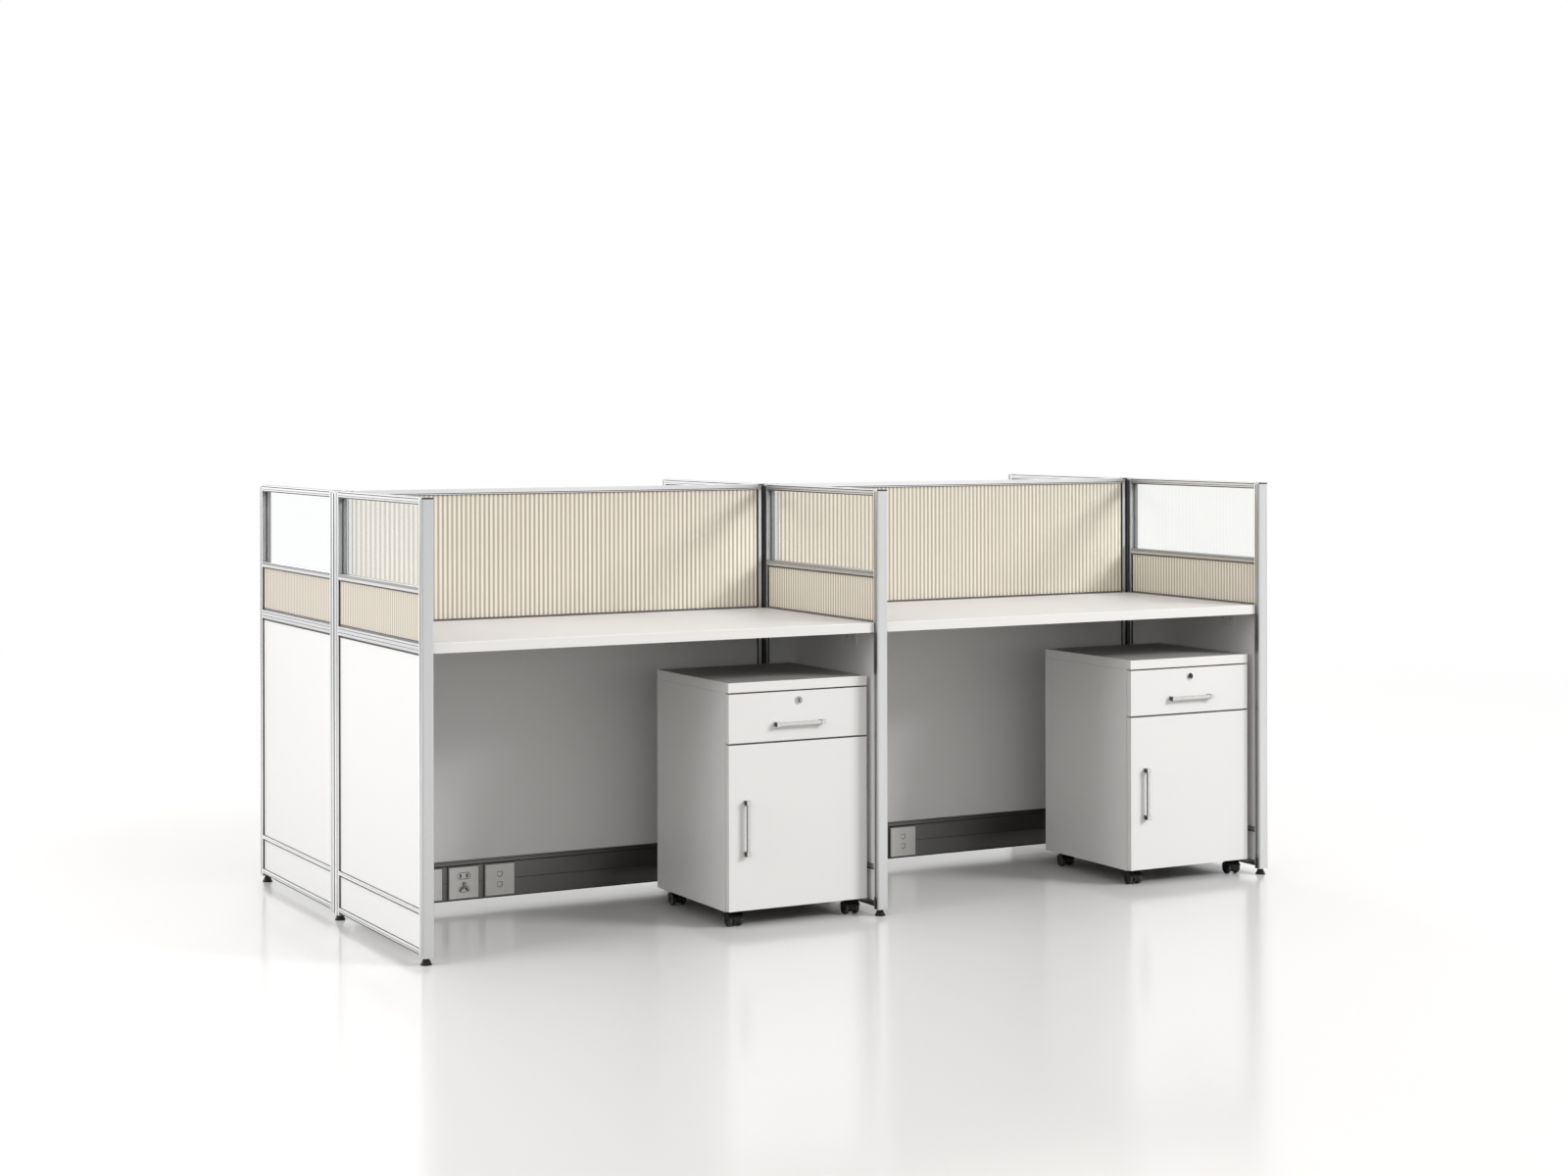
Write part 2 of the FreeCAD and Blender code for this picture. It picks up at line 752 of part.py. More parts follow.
def data_outlets():
    # Two ports one above the other, each pointed at its foot.
    half, high = "port_width / 2", "port_height / 2"
    points = [(half, high), (f"-{half}", high), (f"-{half}", f"port_point - {high}"),
              ("0", f"-{high}"), (half, f"port_point - {high}")]
    port = profile("port", "XZ_Plane", [points], "port_depth + overrun")
    ports = [copy(f"port_{step}", port, y=f"{plate_face} + port_depth", z=f"plate_middle {sign} port_spread")
             for step, sign in enumerate("+-")]
    outlet = wall_plate("data_outlet", ports)
    node_of("data_outlets", on_seats("outlet_copy", copy("outlet_place", outlet, x=plate_x(2))))


def worktops():
    # Each board has a grommet hole, rebated at the top for the flange.
    board = box("worktop_board", ("worktop_side_gap - half_bay", "-worktop_front", "worktop_base"),
                ("bay_width - 2 * worktop_side_gap", "worktop_front - worktop_back", "worktop_thickness"))
    hole = upright("grommet_hole", ("grommet_x", "-grommet_y", "worktop_base - overrun"),
                   "grommet_hole_radius", "worktop_thickness + 2 * overrun")
    rebate = upright("grommet_rebate", ("grommet_x", "-grommet_y", "grommet_z"),
                     "grommet_flange_radius + grommet_clearance", "grommet_flange_thickness + overrun")
    node_of("worktops", on_seats("worktop_copy", cut("worktop", board, [hole, rebate])))


def grommet_rings():
    bore, wall = "grommet_bore", "grommet_hole_radius - grommet_clearance"
    ledge = "grommet_flange_thickness - grommet_cap_thickness"
    tail = "grommet_flange_thickness - grommet_body_length"
    points = [
        (bore, tail), (wall, tail), (wall, "0"), ("grommet_flange_radius", "0"),
        ("grommet_flange_radius", "grommet_flange_thickness"),
        ("cap_seat_radius", "grommet_flange_thickness"), ("cap_seat_radius", ledge), (bore, ledge),
    ]
    ring = seat(revolved("grommet_ring", points), x="grommet_x", y="-grommet_y", z="grommet_z")
    node_of("grommet_rings", on_seats("grommet_ring_copy", ring))


def grommet_caps():
    radius = "cap_seat_radius - grommet_clearance"
    base = "grommet_flange_thickness - grommet_cap_thickness"
    disc = upright("cap_disc", ("0", "0", base), radius, "grommet_cap_thickness")
    notch = box("cap_notch", ("-cable_notch_width / 2", "cap_seat_radius - cable_notch_depth", f"{base} - overrun"),
                ("cable_notch_width", "cable_notch_depth + overrun", "grommet_cap_thickness + 2 * overrun"))
    cap = seat(cut("grommet_cap", disc, [notch]), x="grommet_x", y="-grommet_y", z="grommet_z")
    names = ("front_left", "front_right", "rear_left", "rear_right")
    for name, (x, turn) in zip(names, seat_spots):
        node(f"grommet_cap_{name}", copy(f"grommet_cap_{name}", cap, x=x, turn=turn))


def angle_bracket():
    # Pressed angle with its upright leg on the plane of local Y zero, holes in both legs.
    points = [
        ("0", "0"), ("-bracket_leg", "0"), ("-bracket_leg", "-bracket_thickness"),
        ("-bracket_thickness", "-bracket_thickness"), ("-bracket_thickness", "-bracket_leg"), ("0", "-bracket_leg"),
    ]
    blank = seat(profile("bracket_blank", "YZ_Plane", [points], "bracket_length"), x="-bracket_length / 2")
    reach = "bracket_thickness + 2 * overrun"
    middle = "bracket_leg / 2 + bracket_thickness / 2"
    holes, screws = [], []
    for step, sign in enumerate(("-", "")):
        x = f"{sign}(bracket_length / 2 - bracket_hole_inset)"
        holes.append(upright(f"top_hole_{step}", (x, f"-({middle})", "-bracket_thickness - overrun"),
                             "bracket_hole_radius", reach))
        holes.append(along_y(f"side_hole_{step}", (x, "-bracket_thickness - overrun", f"-({middle})"),
                             "bracket_hole_radius", reach))
        screws.append(fuse(f"top_screw_{step}", [
            upright(f"top_head_{step}", (x, f"-({middle})", "-bracket_thickness - screw_head_height"),
                    "screw_head_radius", "screw_head_height"),
            upright(f"top_shank_{step}", (x, f"-({middle})", "-bracket_thickness"), "screw_radius", "screw_length"),
        ]))
        screws.append(fuse(f"side_screw_{step}", [
            along_y(f"side_head_{step}", (x, "-bracket_thickness - screw_head_height", f"-({middle})"),
                    "screw_head_radius", "screw_head_height"),
            along_y(f"side_shank_{step}", (x, "-bracket_thickness", f"-({middle})"), "screw_radius", "screw_length"),
        ]))
    return cut("angle_bracket", blank, holes), group("bracket_screw_set", screws)


def worktop_brackets():
    bracket, screws = angle_bracket()
    side = "half_bay + half_screen - half_panel"
    near = "-worktop_back - bracket_side_inset"
    far = "bracket_side_inset - worktop_front"
    spots = [
        (f"-({side})", near, 90), (f"-({side})", far, 90), (side, near, -90), (side, far, -90),
        ("bracket_back_inset - half_bay", "-half_panel", 0), ("half_bay - bracket_back_inset", "-half_panel", 0),
    ]
    for label, master in (("worktop_brackets", bracket), ("bracket_screws", screws)):
        members = [copy(f"{label}_{step}", master, x=x, y=y, z="worktop_base", turn=turn)
                   for step, (x, y, turn) in enumerate(spots)]
        node_of(label, on_seats(f"{label}_seat", group(f"{label}_master", members)))


def levelling_feet():
    stem_top = "foot_height + foot_stem_length"
    points = [
        ("0", "0"), ("foot_base_radius", "0"), ("foot_base_radius", "foot_rim_height"),
        ("foot_top_radius", "foot_height"), ("foot_stem_radius", "foot_height"),
        ("foot_stem_radius", stem_top), ("0", stem_top),
    ]
    foot = revolved("foot", points)
    members = on_wings("wing_foot", copy("foot_place", foot, y="-foot_y"))
    spots = ("-bay_pitch", "0", "bay_pitch")
    members += [copy(f"spine_foot_{step}", foot, x=x) for step, x in enumerate(spots)]
    node_of("levelling_feet", members)


# Pedestal masters: X from the left side, Y from the front face, Z from the floor

def carcass():
    deep = "pedestal_depth - carcass_front"
    inner = "pedestal_depth - carcass_front - board_thickness"
    high = "top_base - caster_height"
    far = "pedestal_width - board_thickness"
    return group("carcass_master", [
        box("left_side", ("0", "carcass_front", "caster_height"), ("board_thickness", deep, high)),
        box("right_side", (far, "carcass_front", "caster_height"), ("board_thickness", deep, high)),
        box("back_board", ("board_thickness", "pedestal_depth - board_thickness", "caster_height"),
            ("inner_width", "board_thickness", high)),
        box("bottom_board", ("board_thickness", "carcass_front", "caster_height"),
            ("inner_width", inner, "board_thickness")),
        box("divider", ("board_thickness", "carcass_front", "divider_base"),
            ("inner_width", inner, "board_thickness")),
    ])


def pedestal_top():
    return box("pedestal_top_master", ("0", "0", "top_base"),
               ("pedestal_width", "pedestal_depth", "pedestal_top_thickness"))


def channel(name, x, z, width, height, length, flip):
    # C section of sheet steel along Y, its web on the side given by flip.
    web = x if not flip else f"({x}) + ({width}) - runner_sheet"
    return fuse(name, [
        box(f"{name}_web", (web, "carcass_front", z), ("runner_sheet", length, height)),
        box(f"{name}_low", (x, "carcass_front", z), (width, length, "runner_sheet")),
        box(f"{name}_high", (x, "carcass_front", f"({z}) + ({height}) - runner_sheet"),
            (width, length, "runner_sheet")),
    ])


def mirrored_pair(name, master):
    twin = doc.addObject("Part::Mirroring", f"{name}_twin")
    twin.Source = master
    twin.Normal = Vector(1, 0, 0)
    twin.setExpression(".Base.x", formula("pedestal_width / 2"))
    return group(name, [master, twin])


def runner_sections():
    step = "runner_sheet + runner_gap"
    middle_x = f"board_thickness + {step}"
    middle_width = f"runner_width - ({step})"
    inner_x = f"board_thickness + 2 * ({step})"
    outer = channel("runner_outer", "board_thickness", "runner_base", "runner_width", "runner_height",
                    "runner_length", False)
    middle = channel("runner_middle", middle_x, f"runner_base + {step}", middle_width,
                     f"runner_height - 2 * ({step})", "runner_length", False)
    inner = channel("runner_inner", inner_x, f"runner_base + 2 * ({step})", f"box_left - ({inner_x})",
                    f"runner_height - 4 * ({step})", "box_length + front_thickness - carcass_front", True)
    return [mirrored_pair(f"{item.Name}_pair", item) for item in (outer, middle, inner)]


def hinge_heights():
    return ["door_base + hinge_inset", "door_top - hinge_inset"]


def hinge_arms():
    wall = "pedestal_width - board_thickness"
    plate_y = "carcass_front + arm_plate_inset"
    tip_y = "front_thickness - arm_reach"
    arms = []
    for step, z in enumerate(hinge_heights()):
        plate = middle_box(
            f"arm_plate_{step}",
            (f"{wall} - arm_plate_thickness / 2", f"{plate_y} + arm_plate_length / 2", z),
            ("arm_plate_thickness", "arm_plate_length", "arm_plate_height"))
        arm = middle_box(
            f"arm_bar_{step}",
            (f"{wall} - arm_plate_thickness - arm_width / 2", f"({tip_y} + {plate_y} + arm_plate_length) / 2", z),
            ("arm_width", f"{plate_y} + arm_plate_length - ({tip_y})", "arm_height"))
        arms.append(fuse(f"hinge_arm_{step}", [plate, arm]))
    return arms


def strike():
    x, y = "pedestal_width / 2 - strike_width / 2", "carcass_front + strike_gap"
    return fuse("strike", [
        box("strike_drop", (x, y, "top_base - strike_height"), ("strike_width", "strike_thickness", "strike_height")),
        box("strike_flange", (x, y, "top_base - strike_thickness"),
            ("strike_width", "strike_depth", "strike_thickness")),
    ])


def caster_spots():
    near_x, near_y = "caster_side_inset", "caster_end_inset"
    far_x, far_y = "pedestal_width - caster_side_inset", "pedestal_depth - caster_end_inset"
    return {
        "front_left": (near_x, near_y), "front_right": (far_x, near_y),
        "rear_left": (near_x, far_y), "rear_right": (far_x, far_y),
    }


def caster_plate():
    flat = box("caster_flat", ("-caster_plate_side / 2", "-caster_plate_side / 2", "plate_base"),
               ("caster_plate_side", "caster_plate_side", "caster_plate_thickness"))
    collar = upright("caster_collar", ("0", "0", "collar_base"), "caster_collar_radius", "caster_collar_height")
    bore = upright("caster_bore", ("0", "0", "collar_base - overrun"), "pin_radius + pin_clearance",
                   "caster_height - collar_base + 2 * overrun")
    return cut("caster_plate", fuse("caster_blank", [flat, collar]), [bore])


def carcass_hardware(outer_pair):
    plate = caster_plate()
    plates = [copy(f"caster_plate_{name}", plate, x=x, y=y) for name, (x, y) in caster_spots().items()]
    return group("hardware_master", [outer_pair, strike()] + hinge_arms() + plates)


def drawer_front():
    panel = box("drawer_panel", ("side_reveal", "0", "drawer_front_base"),
                ("front_width", "front_thickness", "drawer_front_height"))
    hole = along_y("lock_hole", ("pedestal_width / 2", "-overrun", "lock_z"),
                   "lock_radius + lock_clearance", "front_thickness + 2 * overrun")
    return cut("drawer_front_master", panel, [hole])


def drawer_box(inner_pair):
    inner_x = "box_left + box_wall"
    inner_w = "box_width - 2 * box_wall"
    rear_y = "front_thickness + box_length - box_wall"
    return group("drawer_box_master", [
        box("box_left_side", ("box_left", "front_thickness", "box_base"), ("box_wall", "box_length", "box_height")),
        box("box_right_side", ("box_left + box_width - box_wall", "front_thickness", "box_base"),
            ("box_wall", "box_length", "box_height")),
        box("box_front", (inner_x, "front_thickness", "box_base"), (inner_w, "box_wall", "box_height")),
        box("box_rear", (inner_x, rear_y, "box_base"), (inner_w, "box_wall", "box_height")),
        box("box_floor_board", (inner_x, "front_thickness + box_wall", "box_base + box_floor_lift"),
            (inner_w, "box_length - 2 * box_wall", "box_floor")),
        inner_pair,
    ])


def handle(name):
    # Straight bar between two square end posts, lying along X and standing off to -Y.
    bar = middle_box(f"{name}_bar", ("0", "handle_bar_thickness / 2 - handle_reach", "0"),
                     ("handle_length - 2 * handle_post_width", "handle_bar_thickness", "handle_bar_height"))
    posts = [
        middle_box(f"{name}_post_{step}", (f"{sign}(handle_length - handle_post_width) / 2", "-handle_reach / 2", "0"),
                   ("handle_post_width", "handle_reach", "handle_post_height"))
        for step, sign in enumerate(("-", ""))
    ]
    return group(name, [bar] + posts)


def drawer_handle():
    return copy("drawer_handle_master", handle("level_handle"), x="pedestal_width / 2", z="handle_z")


def door_handle():
    turned = group("door_handle_master", [handle("upright_handle")])
    return seat(turned, x="door_handle_inset", z="door_handle_z", turn=90, about=(0, 1, 0))


def door():
    panel = box("door_panel", ("side_reveal", "0", "door_base"),
                ("front_width", "front_thickness", "door_top - door_base"))
    pockets = [
        along_y(f"cup_pocket_{step}", ("cup_x", "front_thickness - cup_depth", z),
                "cup_radius + cup_clearance", "cup_depth + overrun")
        for step, z in enumerate(hinge_heights())
    ]
    return cut("door_master", panel, pockets)


def hinge_cups():
    cups = []
    for step, z in enumerate(hinge_heights()):
        shell = along_y(f"cup_shell_{step}", ("cup_x", "front_thickness - cup_depth", z), "cup_radius", "cup_depth")
        flange = middle_box(f"cup_flange_{step}", ("cup_x", "front_thickness + cup_flange_thickness / 2", z),
                            ("cup_flange_width", "cup_flange_thickness", "cup_flange_height"))
        rim = along_y(f"cup_rim_{step}", ("cup_x", "front_thickness", z), "cup_radius", "cup_flange_thickness")
        well = along_y(f"cup_well_{step}", ("cup_x", "front_thickness - cup_depth + cup_wall", z),
                       "cup_radius - cup_wall", "cup_depth + overrun")
        cups.append(cut(f"hinge_cup_{step}", fuse(f"cup_blank_{step}", [shell, flange, rim]), [well]))
    return group("hinge_cups_master", cups)


def lock():
    middle = "pedestal_width / 2"
    cam_y = "front_thickness + lock_tail"
    barrel = along_y("lock_barrel", (middle, "0", "lock_z"), "lock_radius", cam_y)
    rim = along_y("lock_rim", (middle, "-lock_rim_height", "lock_z"), "lock_rim_radius", "lock_rim_height")
    cam = box("lock_cam", (middle, cam_y, "lock_z - cam_width / 2"), ("cam_length", "cam_thickness", "cam_width"))
    boss = along_y("cam_boss", (middle, cam_y, "lock_z"), "cam_width / 2", "cam_thickness")
    key_slot = middle_box("key_slot", (middle, "-lock_rim_height", "lock_z"),
                          ("key_slot_width", "2 * key_slot_depth", "key_slot_length"))
    return cut("lock_master", fuse("lock_blank", [barrel, rim, cam, boss]), [key_slot])


# Caster masters, about the swivel axis and trailing to the front

def caster_hood():
    left, across = "-half_wheels - guard_side", "2 * half_wheels + 2 * guard_side"
    axle_y = "-caster_trail"
    drum = along_x("guard_drum", (left, axle_y, "axle_z"), "guard_radius", across)
    hollow_drum = along_x("guard_hollow", (f"{left} - overrun", axle_y, "axle_z"), "wheel_radius + guard_gap",
                          f"{across} + 2 * overrun")
    upper = box("guard_upper", (left, "-caster_trail - guard_radius", "axle_z + guard_low_share * wheel_radius"),
                (across, "2 * guard_radius", "guard_radius"))
    guard = common("guard", cut("guard_shell", drum, [hollow_drum]), upper)
    web_drum = along_x("web_drum", ("-web_thickness / 2", axle_y, "axle_z"), "guard_radius", "web_thickness")
    web_space = box("web_space", ("-web_thickness / 2", "-caster_trail - guard_radius", "web_floor_gap"),
                    ("web_thickness", "2 * guard_radius", "2 * guard_radius"))
    web = common("web", web_drum, web_space)
    neck = box("hood_neck", ("-web_thickness / 2", "-caster_trail", "axle_z"),
               ("web_thickness", "caster_trail + neck_length", "disc_top - axle_z"))
    disc = upright("swivel_disc", ("0", "0", "disc_base"), "caster_collar_radius", "swivel_disc_height")
    pin = upright("swivel_pin", ("0", "0", "disc_base"), "pin_radius", "caster_height - swivel_gap - disc_base")
    bore = along_x("axle_bore", ("-web_thickness", axle_y, "axle_z"), "axle_radius + axle_clearance",
                   "2 * web_thickness")
    return cut("caster_hood_master", fuse("hood_blank", [guard, web, neck, disc, pin]), [bore])


def caster_wheels():
    axle_y = "-caster_trail"
    discs, dishes = [], []
    for step, (start, dish) in enumerate((
            ("wheel_gap / 2", "half_wheels - wheel_hub_recess"),
            ("-half_wheels", "-half_wheels - overrun"))):
        discs.append(along_x(f"wheel_disc_{step}", (start, axle_y, "axle_z"), "wheel_radius", "wheel_width"))
        dishes.append(along_x(f"wheel_dish_{step}", (dish, axle_y, "axle_z"), "wheel_hub_radius",
                              "wheel_hub_recess + overrun"))
    axle = along_x("wheel_axle", ("-wheel_gap / 2", axle_y, "axle_z"), "axle_radius", "wheel_gap")
    return cut("caster_wheels_master", fuse("wheel_blank", discs + [axle]), dishes)


def pedestals():
    outer_pair, middle_pair, inner_pair = runner_sections()
    masters = {
        "carcass": carcass(),
        "top": pedestal_top(),
        "hardware": carcass_hardware(outer_pair),
        "drawer_front": drawer_front(),
        "drawer_box": drawer_box(inner_pair),
        "drawer_handle": drawer_handle(),
        "runner_mids": middle_pair,
        "door": door(),
        "door_handle": door_handle(),
        "hinge_cups": hinge_cups(),
        "lock": lock(),
    }
    hood, wheels = caster_hood(), caster_wheels()
    for place, (x, y) in caster_spots().items():
        masters[f"caster_{place}"] = copy(f"hood_{place}", hood, x=x, y=y)
        masters[f"wheels_{place}"] = copy(f"wheels_{place}", wheels, x=x, y=y)
    corners = {
        "left": ("-half_screen - left_pedestal_gap - pedestal_width", "left_pedestal_setback - wing_end"),
        "right": ("bay_pitch - half_screen - right_pedestal_gap - pedestal_width",
                  "right_pedestal_setback - wing_end"),
    }
    for side, (x, y) in corners.items():
        for name, master in masters.items():
            label = f"{side}_pedestal_{name}"
            node(label, copy(label, master, x=x, y=y))


spine_posts()
frame_stiles()
wing_rails()
spine_rails()
end_covers()
end_caps()
glazing_gaskets(glass_panes())
fluted_panels()
lower_panels()
raceway_covers()
power_sockets()
data_outlets()
worktops()
grommet_rings()
grommet_caps()
worktop_brackets()
levelling_feet()
pedestals()
doc.recompute()

broken = [item.Name for item in doc.Objects if {"Invalid", "Error"} & set(item.State)]
for piece in nodes:
    if piece.Shape.isNull() or not piece.Shape.isValid() or not piece.Shape.Solids:
        broken.append(piece.Label)
if broken:
    raise RuntimeError("broken pieces: " + ", ".join(broken))

os.makedirs("parts", exist_ok=True)
for piece in nodes:
    piece.Shape.exportStep(f"parts/{piece.Label}.step")
print(len(nodes), "nodes,", sum(len(piece.Shape.Solids) for piece in nodes), "solids")
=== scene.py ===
import json
import math

import bmesh
import bpy
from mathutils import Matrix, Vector


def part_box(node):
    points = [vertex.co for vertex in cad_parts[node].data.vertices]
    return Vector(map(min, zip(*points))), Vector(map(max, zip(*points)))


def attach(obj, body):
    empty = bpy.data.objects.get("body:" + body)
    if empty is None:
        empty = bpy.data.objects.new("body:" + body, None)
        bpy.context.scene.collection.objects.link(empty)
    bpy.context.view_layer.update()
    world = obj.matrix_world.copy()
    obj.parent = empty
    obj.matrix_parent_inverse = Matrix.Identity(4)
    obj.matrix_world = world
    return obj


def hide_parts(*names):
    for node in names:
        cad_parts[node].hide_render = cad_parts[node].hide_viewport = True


# Cubicle workstation, in metres: +X runs along the spine, -Y is the front, the floor is at zero.

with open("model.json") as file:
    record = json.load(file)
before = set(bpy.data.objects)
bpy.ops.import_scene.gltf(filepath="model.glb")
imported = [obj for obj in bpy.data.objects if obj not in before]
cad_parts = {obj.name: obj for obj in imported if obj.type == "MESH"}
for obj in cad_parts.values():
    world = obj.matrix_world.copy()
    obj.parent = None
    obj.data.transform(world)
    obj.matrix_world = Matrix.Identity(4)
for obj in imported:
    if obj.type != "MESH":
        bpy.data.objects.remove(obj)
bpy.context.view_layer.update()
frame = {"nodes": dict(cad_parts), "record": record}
bodyOf = {node: body for body, nodes in frame["record"]["behaviour"]["bodies"].items() for node in nodes}
print("frame loaded:", len(frame["nodes"]), "nodes")


# Shader sums

class Value:
    # One shader socket that can stand in a sum.
    def __init__(self, finish, socket):
        self.finish, self.socket = finish, socket

    def sum(self, operation, *terms):
        return self.finish.add("Math", {"operation": operation}, dict(enumerate(terms)))

    def __add__(self, other):
        return self.sum("ADD", self, other)

    def __radd__(self, other):
        return self.sum("ADD", other, self)

    def __sub__(self, other):
        return self.sum("SUBTRACT", self, other)

    def __rsub__(self, other):
        return self.sum("SUBTRACT", other, self)

    def __mul__(self, other):
        return self.sum("MULTIPLY", self, other)

    def __rmul__(self, other):
        return self.sum("MULTIPLY", other, self)

    def ramp(self, low, high):
        # 0 below low, 1 above high and a smooth rise between them.
        limits = {"Value": self, "From Min": low, "From Max": high}
        return self.finish.add("MapRange", {"interpolation_type": "SMOOTHSTEP"}, limits)


class Finish:
    # The node tree of one material, or of the world.
    def __init__(self, owner):
        owner.use_nodes = True
        self.owner, self.tree = owner, owner.node_tree
        self.tree.nodes.clear()

    def add(self, kind, settings=None, inputs=None, output=0):
        node = self.tree.nodes.new("ShaderNode" + kind)
        for name, setting in (settings or {}).items():
            setattr(node, name, setting)
        for name, term in (inputs or {}).items():
            if isinstance(term, Value):
                self.tree.links.new(term.socket, node.inputs[name])
            else:
                node.inputs[name].default_value = term
        return Value(self, node.outputs[output]) if node.outputs else None

    def noise(self, scale, detail=2, stretch=(1, 1, 1)):
        spot = self.add("TexCoord", output="Object")
        mapped = self.add("Mapping", {}, {"Vector": spot, "Scale": stretch})
        return self.add("TexNoise", {}, {"Vector": mapped, "Scale": scale, "Detail": detail})

    def blend(self, share, first, second):
        return self.add("Mix", {"data_type": "RGBA"}, {0: share, 6: first, 7: second}, 2)

    def bump(self, height, distance):
        return self.add("Bump", {}, {"Height": height, "Distance": distance, "Strength": 1})

    def surface(self, inputs):
        shader = self.add("BsdfPrincipled", {}, inputs)
        self.add("OutputMaterial", {}, {"Surface": shader})
        return self.owner


def newFinish(name):
    return Finish(bpy.data.materials.new(name))


def tone(colour, factor=1.0):
    return tuple(part * factor for part in colour) + (1,)


# Finishes: dark and light are factors on the colour, and the gloss values spread the roughness.

# Aluminium tones: colour is the plain metal; rails is the same metal painted darker as painted shade, and spine
# the same metal painted lighter as a painted reflection of the bright room.
metal = {
    "colour": (0.74, 0.745, 0.75), "rails": (0.61, 0.61, 0.61), "spine": (0.86, 0.86, 0.86),
    "cover": (0.665, 0.67, 0.675), "lines": 2600, "detail": 3, "cloud": 7, "dark": 0.94, "light": 1.03,
    "depth": 0.00002, "roughness": 0.24, "lineGloss": 0.14, "cloudGloss": 0.06,
}


def anodised(name, stretch, shade=metal["colour"]):
    # Satin aluminium with faint drawing lines along the extrusion.
    finish = newFinish(name)
    lines = finish.noise(metal["lines"], metal["detail"], stretch)
    cloud = finish.noise(metal["cloud"])
    roughness = metal["roughness"] + lines * metal["lineGloss"] + (cloud - 0.5) * metal["cloudGloss"]
    return finish.surface({
        "Base Color": finish.blend(lines, tone(shade, metal["dark"]), tone(shade, metal["light"])),
        "Metallic": 1.0, "Roughness": roughness, "Normal": finish.bump(lines, metal["depth"])})


laminate = {
    "grain": 1300, "cloud": 5, "detail": 3, "dark": 0.988, "light": 1.012, "grainGloss": 0.10,
    "cloudGloss": 0.06, "depth": 0.00003,
}
plastic = {
    "grain": 1800, "cloud": 30, "detail": 2, "dark": 0.93, "light": 1.05, "grainGloss": 0.08,
    "cloudGloss": 0.10, "depth": 0.00003,
}
plating = {
    "grain": 900, "cloud": 60, "detail": 3, "dark": 0.90, "light": 1.05, "grainGloss": 0.10,
    "cloudGloss": 0.12, "depth": 0.00002,
}


def grained(name, colour, roughness, kind, sockets):
    # Fine grain in the relief and the gloss, and a slow cloud in the colour and the gloss.
    finish = newFinish(name)
    grain = finish.noise(kind["grain"], kind["detail"])
    cloud = finish.noise(kind["cloud"], kind["detail"])
    return finish.surface({
        "Base Color": finish.blend(cloud, tone(colour, kind["dark"]), tone(colour, kind["light"])),
        "Roughness": roughness + (grain - 0.5) * kind["grainGloss"] + (cloud - 0.5) * kind["cloudGloss"],
        "Normal": finish.bump(grain, kind["depth"]), **sockets})


def melamine(name, colour, roughness=0.40):
    # Pressed laminate with a fine pearl texture.
    return grained(name, colour, roughness, laminate, {})


def moulded(name, colour, roughness=0.35, shine=0.5):
    # Injection moulded plastic, rubber or even paint.
    return grained(name, colour, roughness, plastic, {"Specular IOR Level": shine})


def plated(name, colour, roughness):
    # Zinc, nickel or metallic paint with a soft uneven sheen.
    return grained(name, colour, roughness, plating, {"Metallic": 1.0})


glazing = {
    "colour": (0.975, 0.99, 0.985), "shadow": (0.93, 0.95, 0.94), "ior": 1.7, "smear": 9, "detail": 3,
    "smearFrom": 0.45, "smearTo": 0.8, "roughness": 0.02,
}


def floatGlass():
    # Clear glass that lets the lamps through.
    finish = newFinish("clearGlass")
    smear = finish.noise(glazing["smear"], glazing["detail"])
    glass = finish.add("BsdfPrincipled", {}, {
        "Base Color": tone(glazing["colour"]), "IOR": glazing["ior"], "Transmission Weight": 1.0,
        "Roughness": smear.ramp(glazing["smearFrom"], glazing["smearTo"]) * glazing["roughness"]})
    clear = finish.add("BsdfTransparent", {}, {"Color": tone(glazing["shadow"])})
    shadow = finish.add("LightPath", output="Is Shadow Ray")
    mixed = finish.add("MixShader", {}, {0: shadow, 1: glass, 2: clear})
    finish.add("OutputMaterial", {}, {"Surface": mixed})
    return finish.owner


ribTones = {
    "crest": (0.775, 0.735, 0.645), "shadedGroove": (0.44, 0.385, 0.315), "grooveFrom": 0.25, "grooveTo": 0.80,
    "streak": 160, "stretch": (1, 1, 0.01), "dark": 0.97, "light": 1.03, "pearl": 1500,
    "roughness": 0.45, "pearlGloss": 0.1, "depth": 0.00003,
}


def ribbedLaminate():
    # Cream ribs whose grooves are painted tan as painted shade; the depth across each rib is kept with the mesh.
    finish = newFinish("ribbedLaminate")
    depth = finish.add("Attribute", {"attribute_name": "grooveDepth"}, {}, "Fac")
    shadedGroove = depth.ramp(ribTones["grooveFrom"], ribTones["grooveTo"])
    streak = finish.noise(ribTones["streak"], stretch=ribTones["stretch"])
    pearl = finish.noise(ribTones["pearl"])
    dark, light = [tone(ribTones["crest"], ribTones[factor]) for factor in ("dark", "light")]
    return finish.surface({
        "Base Color": finish.blend(shadedGroove, finish.blend(streak, dark, light), tone(ribTones["shadedGroove"])),
        "Roughness": ribTones["roughness"] + (pearl - 0.5) * ribTones["pearlGloss"],
        "Normal": finish.bump(pearl, ribTones["depth"])})


